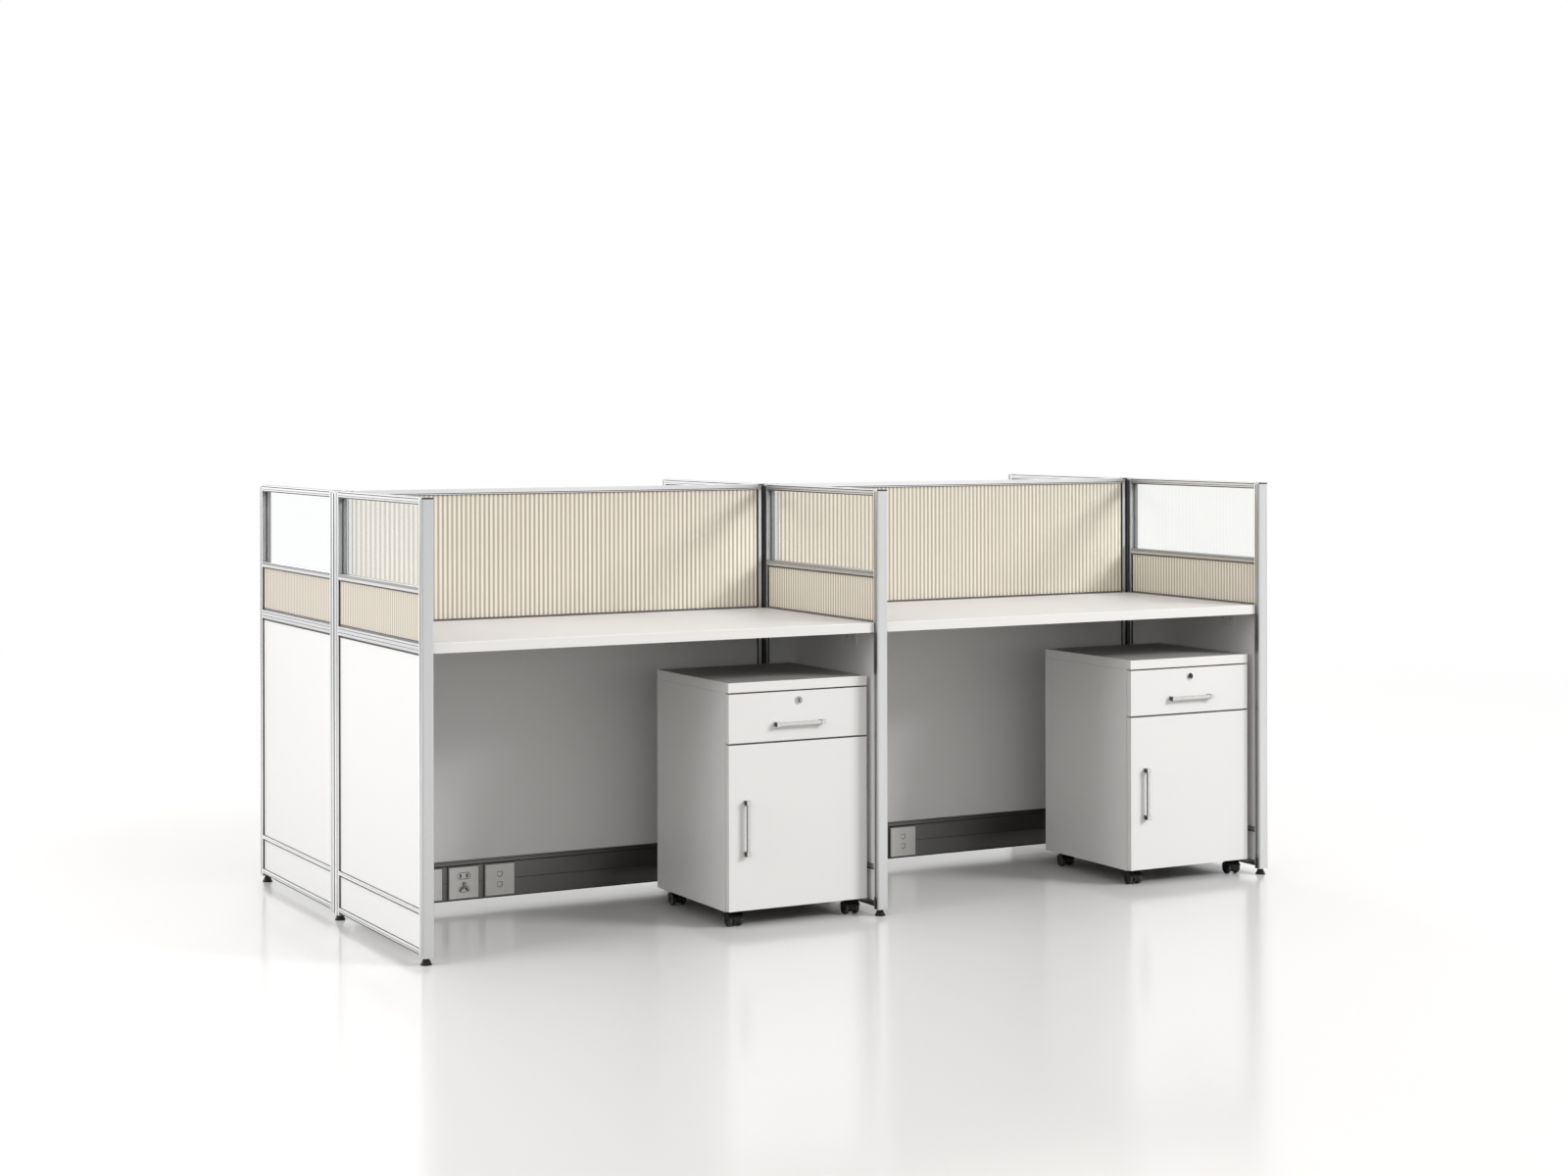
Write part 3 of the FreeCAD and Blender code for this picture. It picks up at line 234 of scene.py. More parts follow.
finishes = {
    # The along finish is painted lighter as a painted reflection, and the across finish darker as painted shade.
    "upright": anodised("anodisedUpright", (1, 1, 0.01)),
    "along": anodised("anodisedAlongLit", (0.01, 1, 1), metal["spine"]),
    "across": anodised("anodisedAcrossShaded", (1, 0.01, 1), metal["rails"]),
    "cover": anodised("coverStrip", (1, 1, 0.01), metal["cover"]),
    "capSilver": moulded("capSilver", (0.70, 0.71, 0.72), 0.3),
    "capBlack": moulded("capBlack", (0.012, 0.012, 0.012), 0.3),
    "glass": floatGlass(),
    # The black rubber finish is also used as painted shade in grooves, slots and gaps.
    "gasket": moulded("gasketRubber", (0.02, 0.02, 0.02), 0.55),
    # The grey liner is painted shade in channels and gaps.
    "liner": moulded("slotLinerShade", (0.24, 0.24, 0.245), 0.5),
    "bead": moulded("glazingBead", (0.27, 0.27, 0.27), 0.4),
    "ribs": ribbedLaminate(),
    "whiteBoard": melamine("whiteBoard", (0.86, 0.865, 0.865)),
    "edgeBand": melamine("edgeBand", (0.87, 0.87, 0.865), 0.32),
    "worktop": melamine("worktopLaminate", (0.740, 0.730, 0.725), 0.45),
    "backingAndShade": melamine("backingSheetAndShade", (0.40, 0.395, 0.39), 0.55),
    "raceway": plated("racewayPaint", (0.20, 0.195, 0.19), 0.38),
    "plate": moulded("platePlastic", (0.84, 0.84, 0.83), 0.3),
    "holeShade": moulded("holeShade", (0.02, 0.02, 0.02), 0.5),
    "grommet": moulded("grommetPlastic", (0.74, 0.74, 0.73), 0.35),
    "bracket": moulded("bracketPaint", (0.80, 0.80, 0.79), 0.45),
    "foot": moulded("footPlastic", (0.012, 0.012, 0.012), 0.4, 0.3),
    "zinc": plated("zincPlate", (0.62, 0.63, 0.64), 0.32),
    "nickel": plated("satinNickel", (0.64, 0.635, 0.625), 0.24),
    "nickelShade": plated("darkNickelShade", (0.10, 0.10, 0.10), 0.30),
    "lockFaceShade": plated("lockFaceShade", (0.36, 0.36, 0.355), 0.35),
    "caster": moulded("casterPlastic", (0.010, 0.010, 0.010), 0.40, 0.25),
    "tread": moulded("wheelTread", (0.03, 0.03, 0.03), 0.45),
    "drawer": melamine("drawerLaminate", (0.82, 0.82, 0.81), 0.45),
    "topShade": melamine("pedestalTopShade", (0.40, 0.395, 0.39), 0.60),
    "undersideShade": moulded("paintedUndersideShade", (0.03, 0.03, 0.03), 0.6, 0.2),
    "gapShade": melamine("greyGapShade", (0.30, 0.30, 0.30), 0.5),
}
print("finishes made:", len(finishes))


# Modelling helpers

squarely, mostly = 0.99, 0.9  # share of a normal along an axis, for a flat face and for a nearly flat one
touching = 0.0001  # places closer than this are one place
angles = {"flat": 0.5, "sharp": 30, "turned": 35, "curved": 40, "rounded": 50}  # degrees between faces


def pick(piece):
    bpy.ops.object.select_all(action="DESELECT")
    piece.select_set(True)
    bpy.context.view_layer.objects.active = piece


def editing(piece, test=None):
    # Edit mode with the faces selected whose middle and normal pass the test, or all of them.
    pick(piece)
    bpy.ops.object.mode_set(mode="EDIT")
    bpy.ops.mesh.select_mode(type="FACE")
    bpy.ops.mesh.select_all(action="DESELECT")
    shape = bmesh.from_edit_mesh(piece.data)
    for face in shape.faces:
        face.select_set(test is None or test(face.calc_center_median(), face.normal))
    bmesh.update_edit_mesh(piece.data)


def done():
    bpy.ops.object.mode_set(mode="OBJECT")


def chosen(piece):
    # Back to object mode, with the faces that were selected.
    done()
    return [face for face in piece.data.polygons if face.select]


def smooth(piece, angle):
    pick(piece)
    bpy.ops.object.shade_smooth_by_angle(angle=math.radians(angles[angle]))


def soften(piece, width, segments=2):
    # Every sharp edge rounded, on a piece of any shape.
    smooth(piece, "sharp")
    bevel = piece.modifiers.new("Edges", "BEVEL")
    bevel.width, bevel.segments = width, segments
    bevel.limit_method, bevel.angle_limit = "ANGLE", math.radians(angles["sharp"])
    bevel.harden_normals = True
    bpy.ops.object.modifier_apply(modifier=bevel.name)


def block(low, high):
    bpy.ops.object.select_all(action="DESELECT")
    bpy.ops.mesh.primitive_cube_add(size=1, location=(low + high) / 2)
    piece = bpy.context.object
    piece.scale = high - low
    bpy.ops.object.transform_apply(location=True, rotation=True, scale=True)
    return piece


def softBlock(low, high, width, segments, *surfaces):
    # A block with every edge rounded and its finishes ready; seams are cut in it afterwards.
    piece = block(low, high)
    editing(piece)
    bpy.ops.mesh.select_mode(type="EDGE")
    bpy.ops.mesh.select_all(action="SELECT")
    bpy.ops.mesh.bevel(offset=width, segments=segments)
    done()
    for name in surfaces:
        piece.data.materials.append(finishes[name])
    return piece


def trued(piece):
    # Smooth over the rounded edges, with the flat faces kept flat.
    smooth(piece, "rounded")
    weighted = piece.modifiers.new("Flats", "WEIGHTED_NORMAL")
    weighted.weight, weighted.keep_sharp = 100, True
    bpy.ops.object.modifier_apply(modifier=weighted.name)
    return piece


def newPiece(name, corners, faces, edges=()):
    mesh = bpy.data.meshes.new(name)
    mesh.from_pydata(corners, edges, faces)
    piece = bpy.data.objects.new(name, mesh)
    bpy.context.scene.collection.objects.link(piece)
    return piece


def shells(node):
    # The node's loose triangles, sewn shell by shell so that touching solids stay apart.
    source = frame["nodes"][node].data
    places = [tuple(round(part, 6) for part in vertex.co) for vertex in source.vertices]
    corners, faces, rim = {}, [], set()
    for polygon in source.polygons:
        ring = [places[index] for index in polygon.vertices]
        if len(set(ring)) == len(ring):
            faces.append([corners.setdefault(place, len(corners)) for place in ring])
        for start, end in zip(ring, ring[1:] + ring[:1]):
            if start != end:
                rim ^= {(start, end)} if (end, start) not in rim else {(end, start)}
        if not rim:  # every edge has met its other side, so the shell is closed
            yield list(corners), faces
            corners, faces = {}, []
    if faces:
        yield list(corners), faces


def sewn(node, name):
    # A copy of the node with its flat faces whole.
    corners, faces = [], []
    for places, rings in shells(node):
        faces += [[len(corners) + index for index in ring] for ring in rings]
        corners += places
    piece = newPiece(name, corners, faces)
    editing(piece)
    bpy.ops.mesh.dissolve_limited(angle_limit=math.radians(angles["flat"]))
    done()
    return piece


def boxOf(places):
    # Low and high corner of some places.
    return [Vector([limit(column) for column in zip(*places)]) for limit in (min, max)]


def nodeBox(node):
    return [Vector(corner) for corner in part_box(node)]


def boxes(node, test=None):
    # Low and high corners of the node's solids whose middle passes the test, lowest first.
    found = [boxOf(places) for places, _ in shells(node)]
    found = [(low, high) for low, high in found if test is None or test((low + high) / 2)]
    return sorted(found, key=lambda pair: (round(pair[0].z, 4), round(pair[0].y, 4), round(pair[0].x, 4)))


def paint(piece, finish, test=None):
    # The first finish covers the piece, and later ones the faces that pass their test.
    piece.data.materials.append(finishes[finish])
    index = len(piece.data.materials) - 1
    for face in piece.data.polygons:
        if test is None or test(face.center, face.normal):
            face.material_index = index


def settle(piece, *nodes):
    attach(piece, bodyOf[nodes[0]])
    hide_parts(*nodes)
    return piece


def dressed(node, name, finish, width):
    # The node as it is, with its edges rounded.
    piece = sewn(node, name)
    soften(piece, width)
    paint(piece, finish)
    return settle(piece, node)


def joined(name, pieces):
    # One piece of several, with its place in its mesh.
    bpy.ops.object.select_all(action="DESELECT")
    for piece in pieces:
        piece.select_set(True)
    bpy.context.view_layer.objects.active = pieces[0]
    bpy.ops.object.transform_apply(location=True, rotation=True, scale=True)
    bpy.ops.object.join()
    pieces[0].name = name
    return pieces[0]


def around(middle, half):
    return middle - half, middle + half


def titled(words):
    return "".join(word.capitalize() for word in words.split("_"))


# Places that repeat

layout = {
    "pitch": 1.230,  # from bay to bay
    "turns": (0, math.pi),  # the front, and the rear half turned
    "screen": 0.1, "clear": 0.02,  # wider than half a screen, and a little more than half a post
}
quarters = ("front_left", "front_right", "rear_left", "rear_right")


def copiesAt(master, spots):
    # The master copied to each place and turn about Z, each copy with its own mesh, and then removed.
    copies = []
    for place, turn in spots:
        twin = master.copy()
        twin.data = master.data.copy()
        bpy.context.scene.collection.objects.link(twin)
        twin.location, twin.rotation_euler = place, (0, 0, turn)
        copies.append(twin)
    bpy.data.objects.remove(master)
    return copies


def bay(step):
    return (step * layout["pitch"], 0, 0)


def onWings(master):
    # From the middle front wing to all six.
    return copiesAt(master, [(bay(step), turn) for step in (-1, 0, 1) for turn in layout["turns"]])


def onBays(master):
    # From the left bay of the spine to both.
    return copiesAt(master, [(bay(step), 0) for step in (0, 1)])


def onSeats(master):
    # From the left front seat to all four.
    spots = [(bay(step * way), turn) for way, turn in zip((1, -1), layout["turns"]) for step in (0, 1)]
    return copiesAt(master, spots)


def middleWing(spot):
    return abs(spot.x) < layout["screen"] and spot.y < -layout["clear"]


def leftBay(spot):
    return layout["clear"] - layout["pitch"] < spot.x < -layout["clear"] and abs(spot.y) < layout["clear"]


def leftSeat(spot):
    return spot.x < 0 and spot.y < 0


def onPost(spot):
    return any((spot - Vector(bay(step))).to_2d().length < layout["clear"] for step in (-1, 0, 1))


def onScreens(node, make):
    # The node's solids on the middle wing and in the left bay, made anew and copied to every screen.
    copies = []
    for test, outward, repeat in ((middleWing, 0, onWings), (leftBay, 1, onBays)):
        for low, high in boxes(node, test):
            copies += repeat(make(low, high, outward))
    return copies


# Screens

bars = {
    "edge": 0.0006, "postEdge": 0.0012,
    "slot": 0.004, "slotDepth": 0.006,  # slots of posts and rails; widths from the middle
    "line": 0.0006, "lineDepth": 0.0008, "stileLine": 0.0018,
    "gap": 0.0028, "wideGap": 0.0085, "gapDepth": 0.0025,  # gap at the outer edge of a stile, painted black as painted shade
    "channel": 0.0129, "channelDepth": 0.0012,  # where a stile takes the boards
    "wall": 0.00001,  # slope of the walls of all of these
    "outer": 0.3,  # a stile further out than this is an outer one
}


def surfaceOf(piece, name):
    # Index of a finish on the piece, added when it is new there.
    held = piece.data.materials
    if held.find(finishes[name].name) < 0:
        held.append(finishes[name])
    return held.find(finishes[name].name)


def sink(piece, across, span, outward, depth, sides=(-1, 1), finish="gasket"):
    # A strip between two places along one axis, sunk into the faces that look along another; its floor and walls
    # take a dark finish, black rubber by default, as painted shade in the recess.
    start, end = sorted(span)
    for place in (start, end):
        spot, normal = [0, 0, 0], [0, 0, 0]
        spot[across], normal[across] = place, 1
        editing(piece)
        bpy.ops.mesh.bisect(plane_co=spot, plane_no=normal)
        done()
    index = surfaceOf(piece, finish)
    editing(piece, lambda middle, look: start < middle[across] < end
            and any(look[outward] * side > squarely for side in sides))
    bpy.ops.mesh.inset(thickness=bars["wall"], depth=-depth)
    shape = bmesh.from_edit_mesh(piece.data)
    floor = [face for face in shape.faces if face.select]
    for face in floor + [wall for face in floor for edge in face.edges for wall in edge.link_faces]:
        face.material_index = index
    bmesh.update_edit_mesh(piece.data)
    done()


def post(low, high):
    # Square post with a slot in each face, painted black inside as painted shade.
    piece = softBlock(low, high, bars["postEdge"], 3, "upright")
    middle = (low + high) / 2
    for across, outward in ((0, 1), (1, 0)):
        sink(piece, across, around(middle[across], bars["slot"]), outward, bars["slotDepth"])
    return trued(piece)


def stile(low, high, outward):
    # Upright bar: a gap at its outer edge and a fine line on the wings, both painted black as painted shade, and
    # the channel for the boards, painted grey as painted shade.
    across = 1 - outward
    piece = softBlock(low, high, bars["edge"], 2, "upright")
    opening = 1 if low[across] < -bars["outer"] else -1
    outer = low[across] if opening > 0 else high[across]
    gap = bars["wideGap"] if outward == 1 else bars["gap"]
    sink(piece, across, (outer, outer + opening * gap), outward, bars["gapDepth"])
    if outward == 0:
        line = around((low[across] + high[across]) / 2, bars["stileLine"])
        sink(piece, across, line, outward, bars["lineDepth"])
    sink(piece, outward, around(0, bars["channel"]), across, bars["channelDepth"], (opening,), "liner")
    return trued(piece)


def rail(low, high, outward, finish, lines=(), slots=()):
    # Level bar with lines along both faces; slots look up or down. The black lines and slots are painted shade in
    # their grooves.
    piece = softBlock(low, high, bars["edge"], 2, finish)
    for height, half, depth, tint in lines:
        sink(piece, 2, around(low.z + height, half), outward, depth, finish=tint)
    for side in slots:
        middle = (low[outward] + high[outward]) / 2
        sink(piece, outward, around(middle, bars["slot"]), 2, bars["slotDepth"], (side,))
    return trued(piece)


settle(joined("SpinePosts", [post(low, high) for low, high in boxes("spine_posts")]), "spine_posts")
settle(joined("FrameStiles", onScreens("frame_stiles", stile)), "frame_stiles")
print("posts and stiles cut")

# Each line: height above the foot of its rail, half its width, its depth and its finish.
# The black lines are painted shade in their grooves, and each foot line is also the painted shadow under its
# rail.
fineLine, footLine = (bars["line"], bars["lineDepth"], "gasket"), (0.0017, 0.0011, 0.0018, "gasket")
wingLines = {
    "bottom": {"lines": (footLine, (0.0068, *fineLine))},
    "lower": {"lines": (footLine, (0.0085, 0.0003, 0.0004, "gasket"))},
    "worktop": {"lines": ((0.0075, *fineLine), (0.0165, *fineLine))},
    "mid": {"lines": (footLine, (0.0128, 0.0036, 0.0003, "bead")), "slots": (1,)},
    "top": {"lines": (footLine, (0.0068, *fineLine), (0.0138, 0.0010, 0.0016, "gasket")), "slots": (-1,)},
}
spineLines = {
    "sill": {"finish": "raceway", "lines": (footLine,)},
    "head": {"finish": "raceway", "lines": (footLine, (0.0095, *fineLine))},
    "worktop": {"lines": ((0.0075, *fineLine), (0.0165, *fineLine))},
    "top": {"lines": ((0.0030, 0.0009, 0.0016, "gasket"),)},
}
neck = {"below": 0.004, "above": 0.005, "half": 0.009, "edge": 0.0003}


def worktopRail(low, high, outward, finish, lines):
    # The rail beside the worktop, with a narrow neck above and below it, the neck painted grey as painted shade
    # in the gap.
    foot, head = low + Vector((0, 0, neck["below"])), high - Vector((0, 0, neck["above"]))
    body = rail(foot, head, outward, finish, lines)
    inner, outer = low.copy(), high.copy()
    inner[outward], outer[outward] = around(0, neck["half"])
    web = trued(softBlock(inner, outer, neck["edge"], 2, "liner"))
    return joined("WorktopRail", [body, web])


def railSet(solids, details, outward, finish, repeat):
    # The rails of one screen from the lowest up, copied to the others.
    rails = []
    for (low, high), (place, detail) in zip(solids, details.items()):
        make = worktopRail if place == "worktop" else rail
        rails += repeat(make(low, high, outward, **{"finish": finish, **detail}))
    return rails


wingRails = railSet(boxes("wing_rails", middleWing), wingLines, 0, "across", onWings)
settle(joined("WingRails", wingRails), "wing_rails")
spineRails = railSet(boxes("spine_rails", leftBay), spineLines, 1, "along", onBays)
settle(joined("SpineRails", spineRails), "spine_rails")
print("rails cut")

coverShape = {"round": 0.0027, "segments": 5, "rib": 0.0105, "ribHalf": 0.0003, "ribDepth": 0.0002}


def endCover(low, high):
    # Clip-on strip with rounded long edges and two faint draw lines.
    piece = block(low, high)
    editing(piece)
    bpy.ops.mesh.select_mode(type="EDGE")
    bpy.ops.mesh.select_all(action="DESELECT")
    shape = bmesh.from_edit_mesh(piece.data)
    for edge in shape.edges:
        start, end = [corner.co for corner in edge.verts]
        edge.select_set(abs(start.z - end.z) > touching and abs(start.y - low.y) < touching)
    bmesh.update_edit_mesh(piece.data)
    bpy.ops.mesh.bevel(offset=coverShape["round"], segments=coverShape["segments"])
    done()
    piece.data.materials.append(finishes["cover"])
    for side in (-1, 1):
        rib = around(side * coverShape["rib"], coverShape["ribHalf"])
        sink(piece, 0, rib, 1, coverShape["ribDepth"], (-1,), "cover")
    return trued(piece)


endCovers = [twin for low, high in boxes("end_covers", middleWing) for twin in onWings(endCover(low, high))]
settle(joined("EndCovers", endCovers), "end_covers")

capShape = {"edge": 0.0005, "inset": 0.0016, "step": 0.0004, "dish": 0.0005, "blackFrom": 0.5}


def endCap(low, high, outward):
    # Push-in cap with a shallow panel in its top, the same whichever way its screen runs.
    piece = softBlock(low, high, capShape["edge"], 2)
    editing(piece, lambda middle, look: look.z > squarely)
    bpy.ops.mesh.inset(thickness=capShape["inset"], depth=0)
    bpy.ops.mesh.inset(thickness=capShape["step"], depth=-capShape["dish"])
    done()
    paint(trued(piece), "capSilver")
    return piece


endCaps = onScreens("end_caps", endCap) + [endCap(low, high, 0) for low, high in boxes("end_caps", onPost)]
endCaps = joined("EndCaps", endCaps)
paint(endCaps, "capBlack", lambda middle, look: abs(look.y) > capShape["blackFrom"])
settle(endCaps, "end_caps")

pane = {"edge": 0.0004}
dressed("glass_panes", "GlassPanes", "glass", pane["edge"])

lips = {"edge": 0.0003, "side": 0.0026, "head": 0.0012, "foot": 0.0006, "proud": 0.0026}


def lip(low, high, outward, side):
    # Rubber lip round one face of a board, between the board and its frame, thinner along head and foot; its
    # black is partly painted shade in that recess.
    start, end = low.copy(), high.copy()
    face = high[outward] if side > 0 else low[outward]
    start[outward], end[outward] = around(face, lips["proud"])
    piece = block(start, end)
    editing(piece, lambda middle, look: abs(look[outward]) > mostly)
    bpy.ops.mesh.inset(thickness=lips["side"], depth=0)
    bpy.ops.mesh.bridge_edge_loops()
    shape = bmesh.from_edit_mesh(piece.data)
    for corner in shape.verts:
        if abs(corner.co.z - start.z - lips["side"]) < touching:
            corner.co.z = start.z + lips["foot"]
        elif abs(corner.co.z - end.z + lips["side"]) < touching:
            corner.co.z = end.z - lips["head"]
    bmesh.update_edit_mesh(piece.data)
    done()
    paint(piece, "gasket")
    return piece


def boardLips(low, high, outward):
    return joined("BoardLips", [lip(low, high, outward, side) for side in (-1, 1)])


gaskets = sewn("glazing_gaskets", "GlassGaskets")
soften(gaskets, lips["edge"])
paint(gaskets, "gasket")
gaskets = [gaskets] + onScreens("lower_panels", boardLips) + onScreens("fluted_panels", boardLips)
settle(joined("GlazingGaskets", gaskets), "glazing_gaskets")
print("gaskets laid")

boardShape = {"edge": 0.0006, "band": 0.0010, "seam": 0.0003}


def seamed(piece, band, test):
    # On the faces that pass: an edge strip, a hairline seam, and the second finish inside it.
    editing(piece, test)
    bpy.ops.mesh.inset(thickness=band, depth=0)
    for way in (-1, 1):
        bpy.ops.mesh.inset(thickness=boardShape["seam"], depth=way * boardShape["seam"])
    for face in chosen(piece):
        face.material_index = 1
    return piece


def board(low, high, outward):
    # Laminated board with its edge strip showing round both faces.
    piece = softBlock(low, high, boardShape["edge"], 2, "edgeBand", "whiteBoard")
    return trued(seamed(piece, boardShape["band"], lambda middle, look: abs(look[outward]) > squarely))


settle(joined("LowerPanels", onScreens("lower_panels", board)), "lower_panels")

ribbing = {"pitch": 0.01285, "depth": 0.0012, "half": 0.010, "steps": 8}


def ribbedBoard(low, high, outward):
    # Outline with ribs on both sides, drawn up to the board's height.
    length = high[1 - outward] - low[1 - outward]
    steps = round(length / ribbing["pitch"]) * ribbing["steps"]
    side = []
    for step in range(steps + 1):
        shadedGroove = 0.5 + 0.5 * math.cos(2 * math.pi * step / ribbing["steps"])
        side.append((length * (step / steps - 0.5), ribbing["half"] - ribbing["depth"] * shadedGroove, shadedGroove))
    ring = side + [(-x, -y, shadedGroove) for x, y, shadedGroove in side]
    corners = [(x, y, z) for z in (low.z, high.z) for x, y, _ in ring]
    total = len(ring)
    walls = [[step + total, (step + 1) % total + total, (step + 1) % total, step] for step in range(total)]
    piece = newPiece("RibbedBoard", corners, walls + [list(range(total)), list(range(total, 2 * total))[::-1]])
    # The groove share, kept as grooveDepth, sets the painted shade in the grooves.
    depths = piece.data.attributes.new("grooveDepth", "FLOAT", "POINT")
    depths.data.foreach_set("value", [shadedGroove for _, _, shadedGroove in ring] * 2)
    paint(piece, "ribs")
    middle = (low + high) / 2
    piece.location = (middle.x, middle.y, 0)
    piece.rotation_euler = (0, 0, 0 if outward else math.pi / 2)
    return joined("RibbedBoard", [piece])


fluted = joined("FlutedPanels", onScreens("fluted_panels", ribbedBoard))
smooth(fluted, "curved")
settle(fluted, "fluted_panels")
print("boards placed")


# Raceway

raceway = {"edge": 0.0003, "grooveFrom": 0.0130, "grooveTo": 0.0148}
racewayCovers = sewn("raceway_covers", "RacewayCovers")
soften(racewayCovers, raceway["edge"])
paint(racewayCovers, "raceway")
# The cover's groove is painted black as painted shade.
paint(racewayCovers, "gasket", lambda middle, look: abs(look.y) > mostly
      and raceway["grooveFrom"] < abs(middle.y) < raceway["grooveTo"])
settle(racewayCovers, "raceway_covers")

# Distances from the middle of the spine: the flange, the floors of the pin holes and ports, and of the wells.
plate = {"flange": 0.0192, "holes": 0.0211, "wells": 0.0226, "rim": 0.0014}


def wallPlate(node, name, rimmed):
    # Light face; the flange and the plate's sides are painted dark and the recesses black as painted shade, and
    # those at one depth keep a light floor in a dark rim.
    piece = sewn(node, name)
    editing(piece, lambda middle, look: abs(look.y) > mostly and rimmed[0] < abs(middle.y) < rimmed[1])
    bpy.ops.mesh.inset(thickness=plate["rim"], depth=0)
    floors = [face.index for face in chosen(piece)]
    paint(piece, "plate")
    for finish, low, high in (("raceway", 0, plate["flange"]), ("holeShade", plate["flange"], plate["wells"])):
        paint(piece, finish, lambda middle, look: low <= abs(middle.y) < high and abs(look.y) > mostly)
    for index in floors:
        piece.data.polygons[index].material_index = 0
    paint(piece, "raceway", lambda middle, look: abs(look.y) < mostly and abs(middle.y) < plate["flange"])
    smooth(piece, "sharp")
    return settle(piece, node)


wallPlate("power_sockets", "PowerSockets", (plate["holes"], plate["wells"]))
wallPlate("data_outlets", "DataOutlets", (plate["flange"], plate["holes"]))
print("raceway dressed")


# Desks

desk = {
    "edge": 0.0010, "band": 0.0014,
    "bodyHole": 0.030, "bodyReach": 0.08, "bodyDown": 0.01,  # radius, length and depth of the middle of the drill
    "flangeHole": 0.0343, "flangeReach": 0.004,
}


def drill(piece, spot, radius, reach):
    # Takes an upright rod out of the piece.
    bpy.ops.object.select_all(action="DESELECT")
    bpy.ops.mesh.primitive_cylinder_add(vertices=64, radius=radius, depth=reach, location=spot)
    tool = joined("Drill", [bpy.context.object])
    pick(piece)
    hole = piece.modifiers.new("Hole", "BOOLEAN")
    hole.operation, hole.object, hole.solver = "DIFFERENCE", tool, "EXACT"
    bpy.ops.object.modifier_apply(modifier=hole.name)
    bpy.data.objects.remove(tool)


def worktop(low, high, spot):
    # Laminated top with a rebated hole for its grommet, and a grey backing sheet below, its grey partly painted
    # shade that keeps light from bouncing under the desk.
    piece = softBlock(low, high, desk["edge"], 3, "edgeBand", "worktop")
    seamed(piece, desk["band"], lambda middle, look: abs(look.z) > squarely)
    drill(piece, (spot.x, spot.y, high.z - desk["bodyDown"]), desk["bodyHole"], desk["bodyReach"])
    drill(piece, (spot.x, spot.y, high.z), desk["flangeHole"], desk["flangeReach"])
    paint(trued(piece), "backingAndShade", lambda middle, look: look.z < -squarely and middle.z < low.z + desk["edge"])
    return piece


ringLow, ringHigh = boxes("grommet_rings", leftSeat)[0]
grommetSpot = (ringLow + ringHigh) / 2
deskLow, deskHigh = boxes("worktops", leftSeat)[0]
settle(joined("Worktops", onSeats(worktop(deskLow, deskHigh, grommetSpot))), "worktops")


def turned(name, outline, spot, axis=(0, 0, 1), steps=48, angle="turned"):
    # Closed outline of radius and height, spun once round its axis.
    start = Vector((1, 0, 0)) if axis[2] else Vector((0, 0, 1))
    corners = [Vector(spot) + start * radius + Vector(axis) * height for radius, height in outline]
    ring = [(index, (index + 1) % len(corners)) for index in range(len(corners))]
    piece = newPiece(name, corners, [], ring)
    pick(piece)
    bpy.ops.object.mode_set(mode="EDIT")
    bpy.ops.mesh.select_all(action="SELECT")
    bpy.ops.mesh.spin(steps=steps, angle=2 * math.pi, center=spot, axis=axis)
    bpy.ops.mesh.select_all(action="SELECT")
    bpy.ops.mesh.remove_doubles(threshold=0.000002)
    bpy.ops.mesh.normals_make_consistent(inside=False)
    done()
    smooth(piece, angle)
    return piece


grommet = {
    "ring": [(0.0250, -0.022), (0.0297, -0.022), (0.0297, -0.002), (0.0334, -0.002), (0.0340, -0.0014),
             (0.0340, -0.0006), (0.0335, -0.0001), (0.0328, 0), (0.0280, 0), (0.0273, -0.0003),
             (0.0272, -0.0008), (0.0272, -0.0030), (0.0250, -0.0030)],
    "capEdge": 0.0004,
}
ring = turned("GrommetRing", grommet["ring"], (grommetSpot.x, grommetSpot.y, ringHigh.z))
paint(ring, "grommet")
settle(joined("GrommetRings", onSeats(ring)), "grommet_rings")
for place in quarters:
    dressed(f"grommet_cap_{place}", "GrommetCap" + titled(place), "grommet", grommet["capEdge"])

fixings = {"worktop_brackets": ("bracket", 0.0005), "bracket_screws": ("zinc", 0.0003)}  # finish and edge
for node, (finish, width) in fixings.items():
    dressed(node, titled(node), finish, width)

footShape = {
    "outline": [(0, 0), (0.0122, 0), (0.0131, 0.0004), (0.0135, 0.0012), (0.0135, 0.0026), (0.0131, 0.0033),
                (0.0122, 0.0039), (0.0078, 0.0136), (0.0072, 0.0148), (0.0062, 0.0152), (0.0060, 0.0158),
                (0.0060, 0.0168), (0.0030, 0.0169)],
    "stem": 0.0030, "threadFrom": 0.0172, "threadDepth": 0.0004, "pitch": 0.0012, "top": 0.042,
    "plasticTo": 0.0170, "steps": 32,
}


def footOutline():
    # Cone, collar and threaded stem.
    points, height = list(footShape["outline"]), footShape["threadFrom"]
    while height + footShape["pitch"] < footShape["top"]:
        points.append((footShape["stem"], height))
        points.append((footShape["stem"] - footShape["threadDepth"], height + footShape["pitch"] / 2))
        height += footShape["pitch"]
    return points + [(footShape["stem"], height), (0, footShape["top"])]


foot = turned("Foot", footOutline(), (0, 0, 0), steps=footShape["steps"])
paint(foot, "foot")
paint(foot, "zinc", lambda middle, look: middle.z > footShape["plasticTo"])
footSpots = [(low + high) / 2 for low, high in boxes("levelling_feet")]
feet = copiesAt(foot, [((spot.x, spot.y, 0), 0) for spot in footSpots])
settle(joined("LevellingFeet", feet), "levelling_feet")
print("desks and feet placed:", len(feet), "feet")


# Pedestals

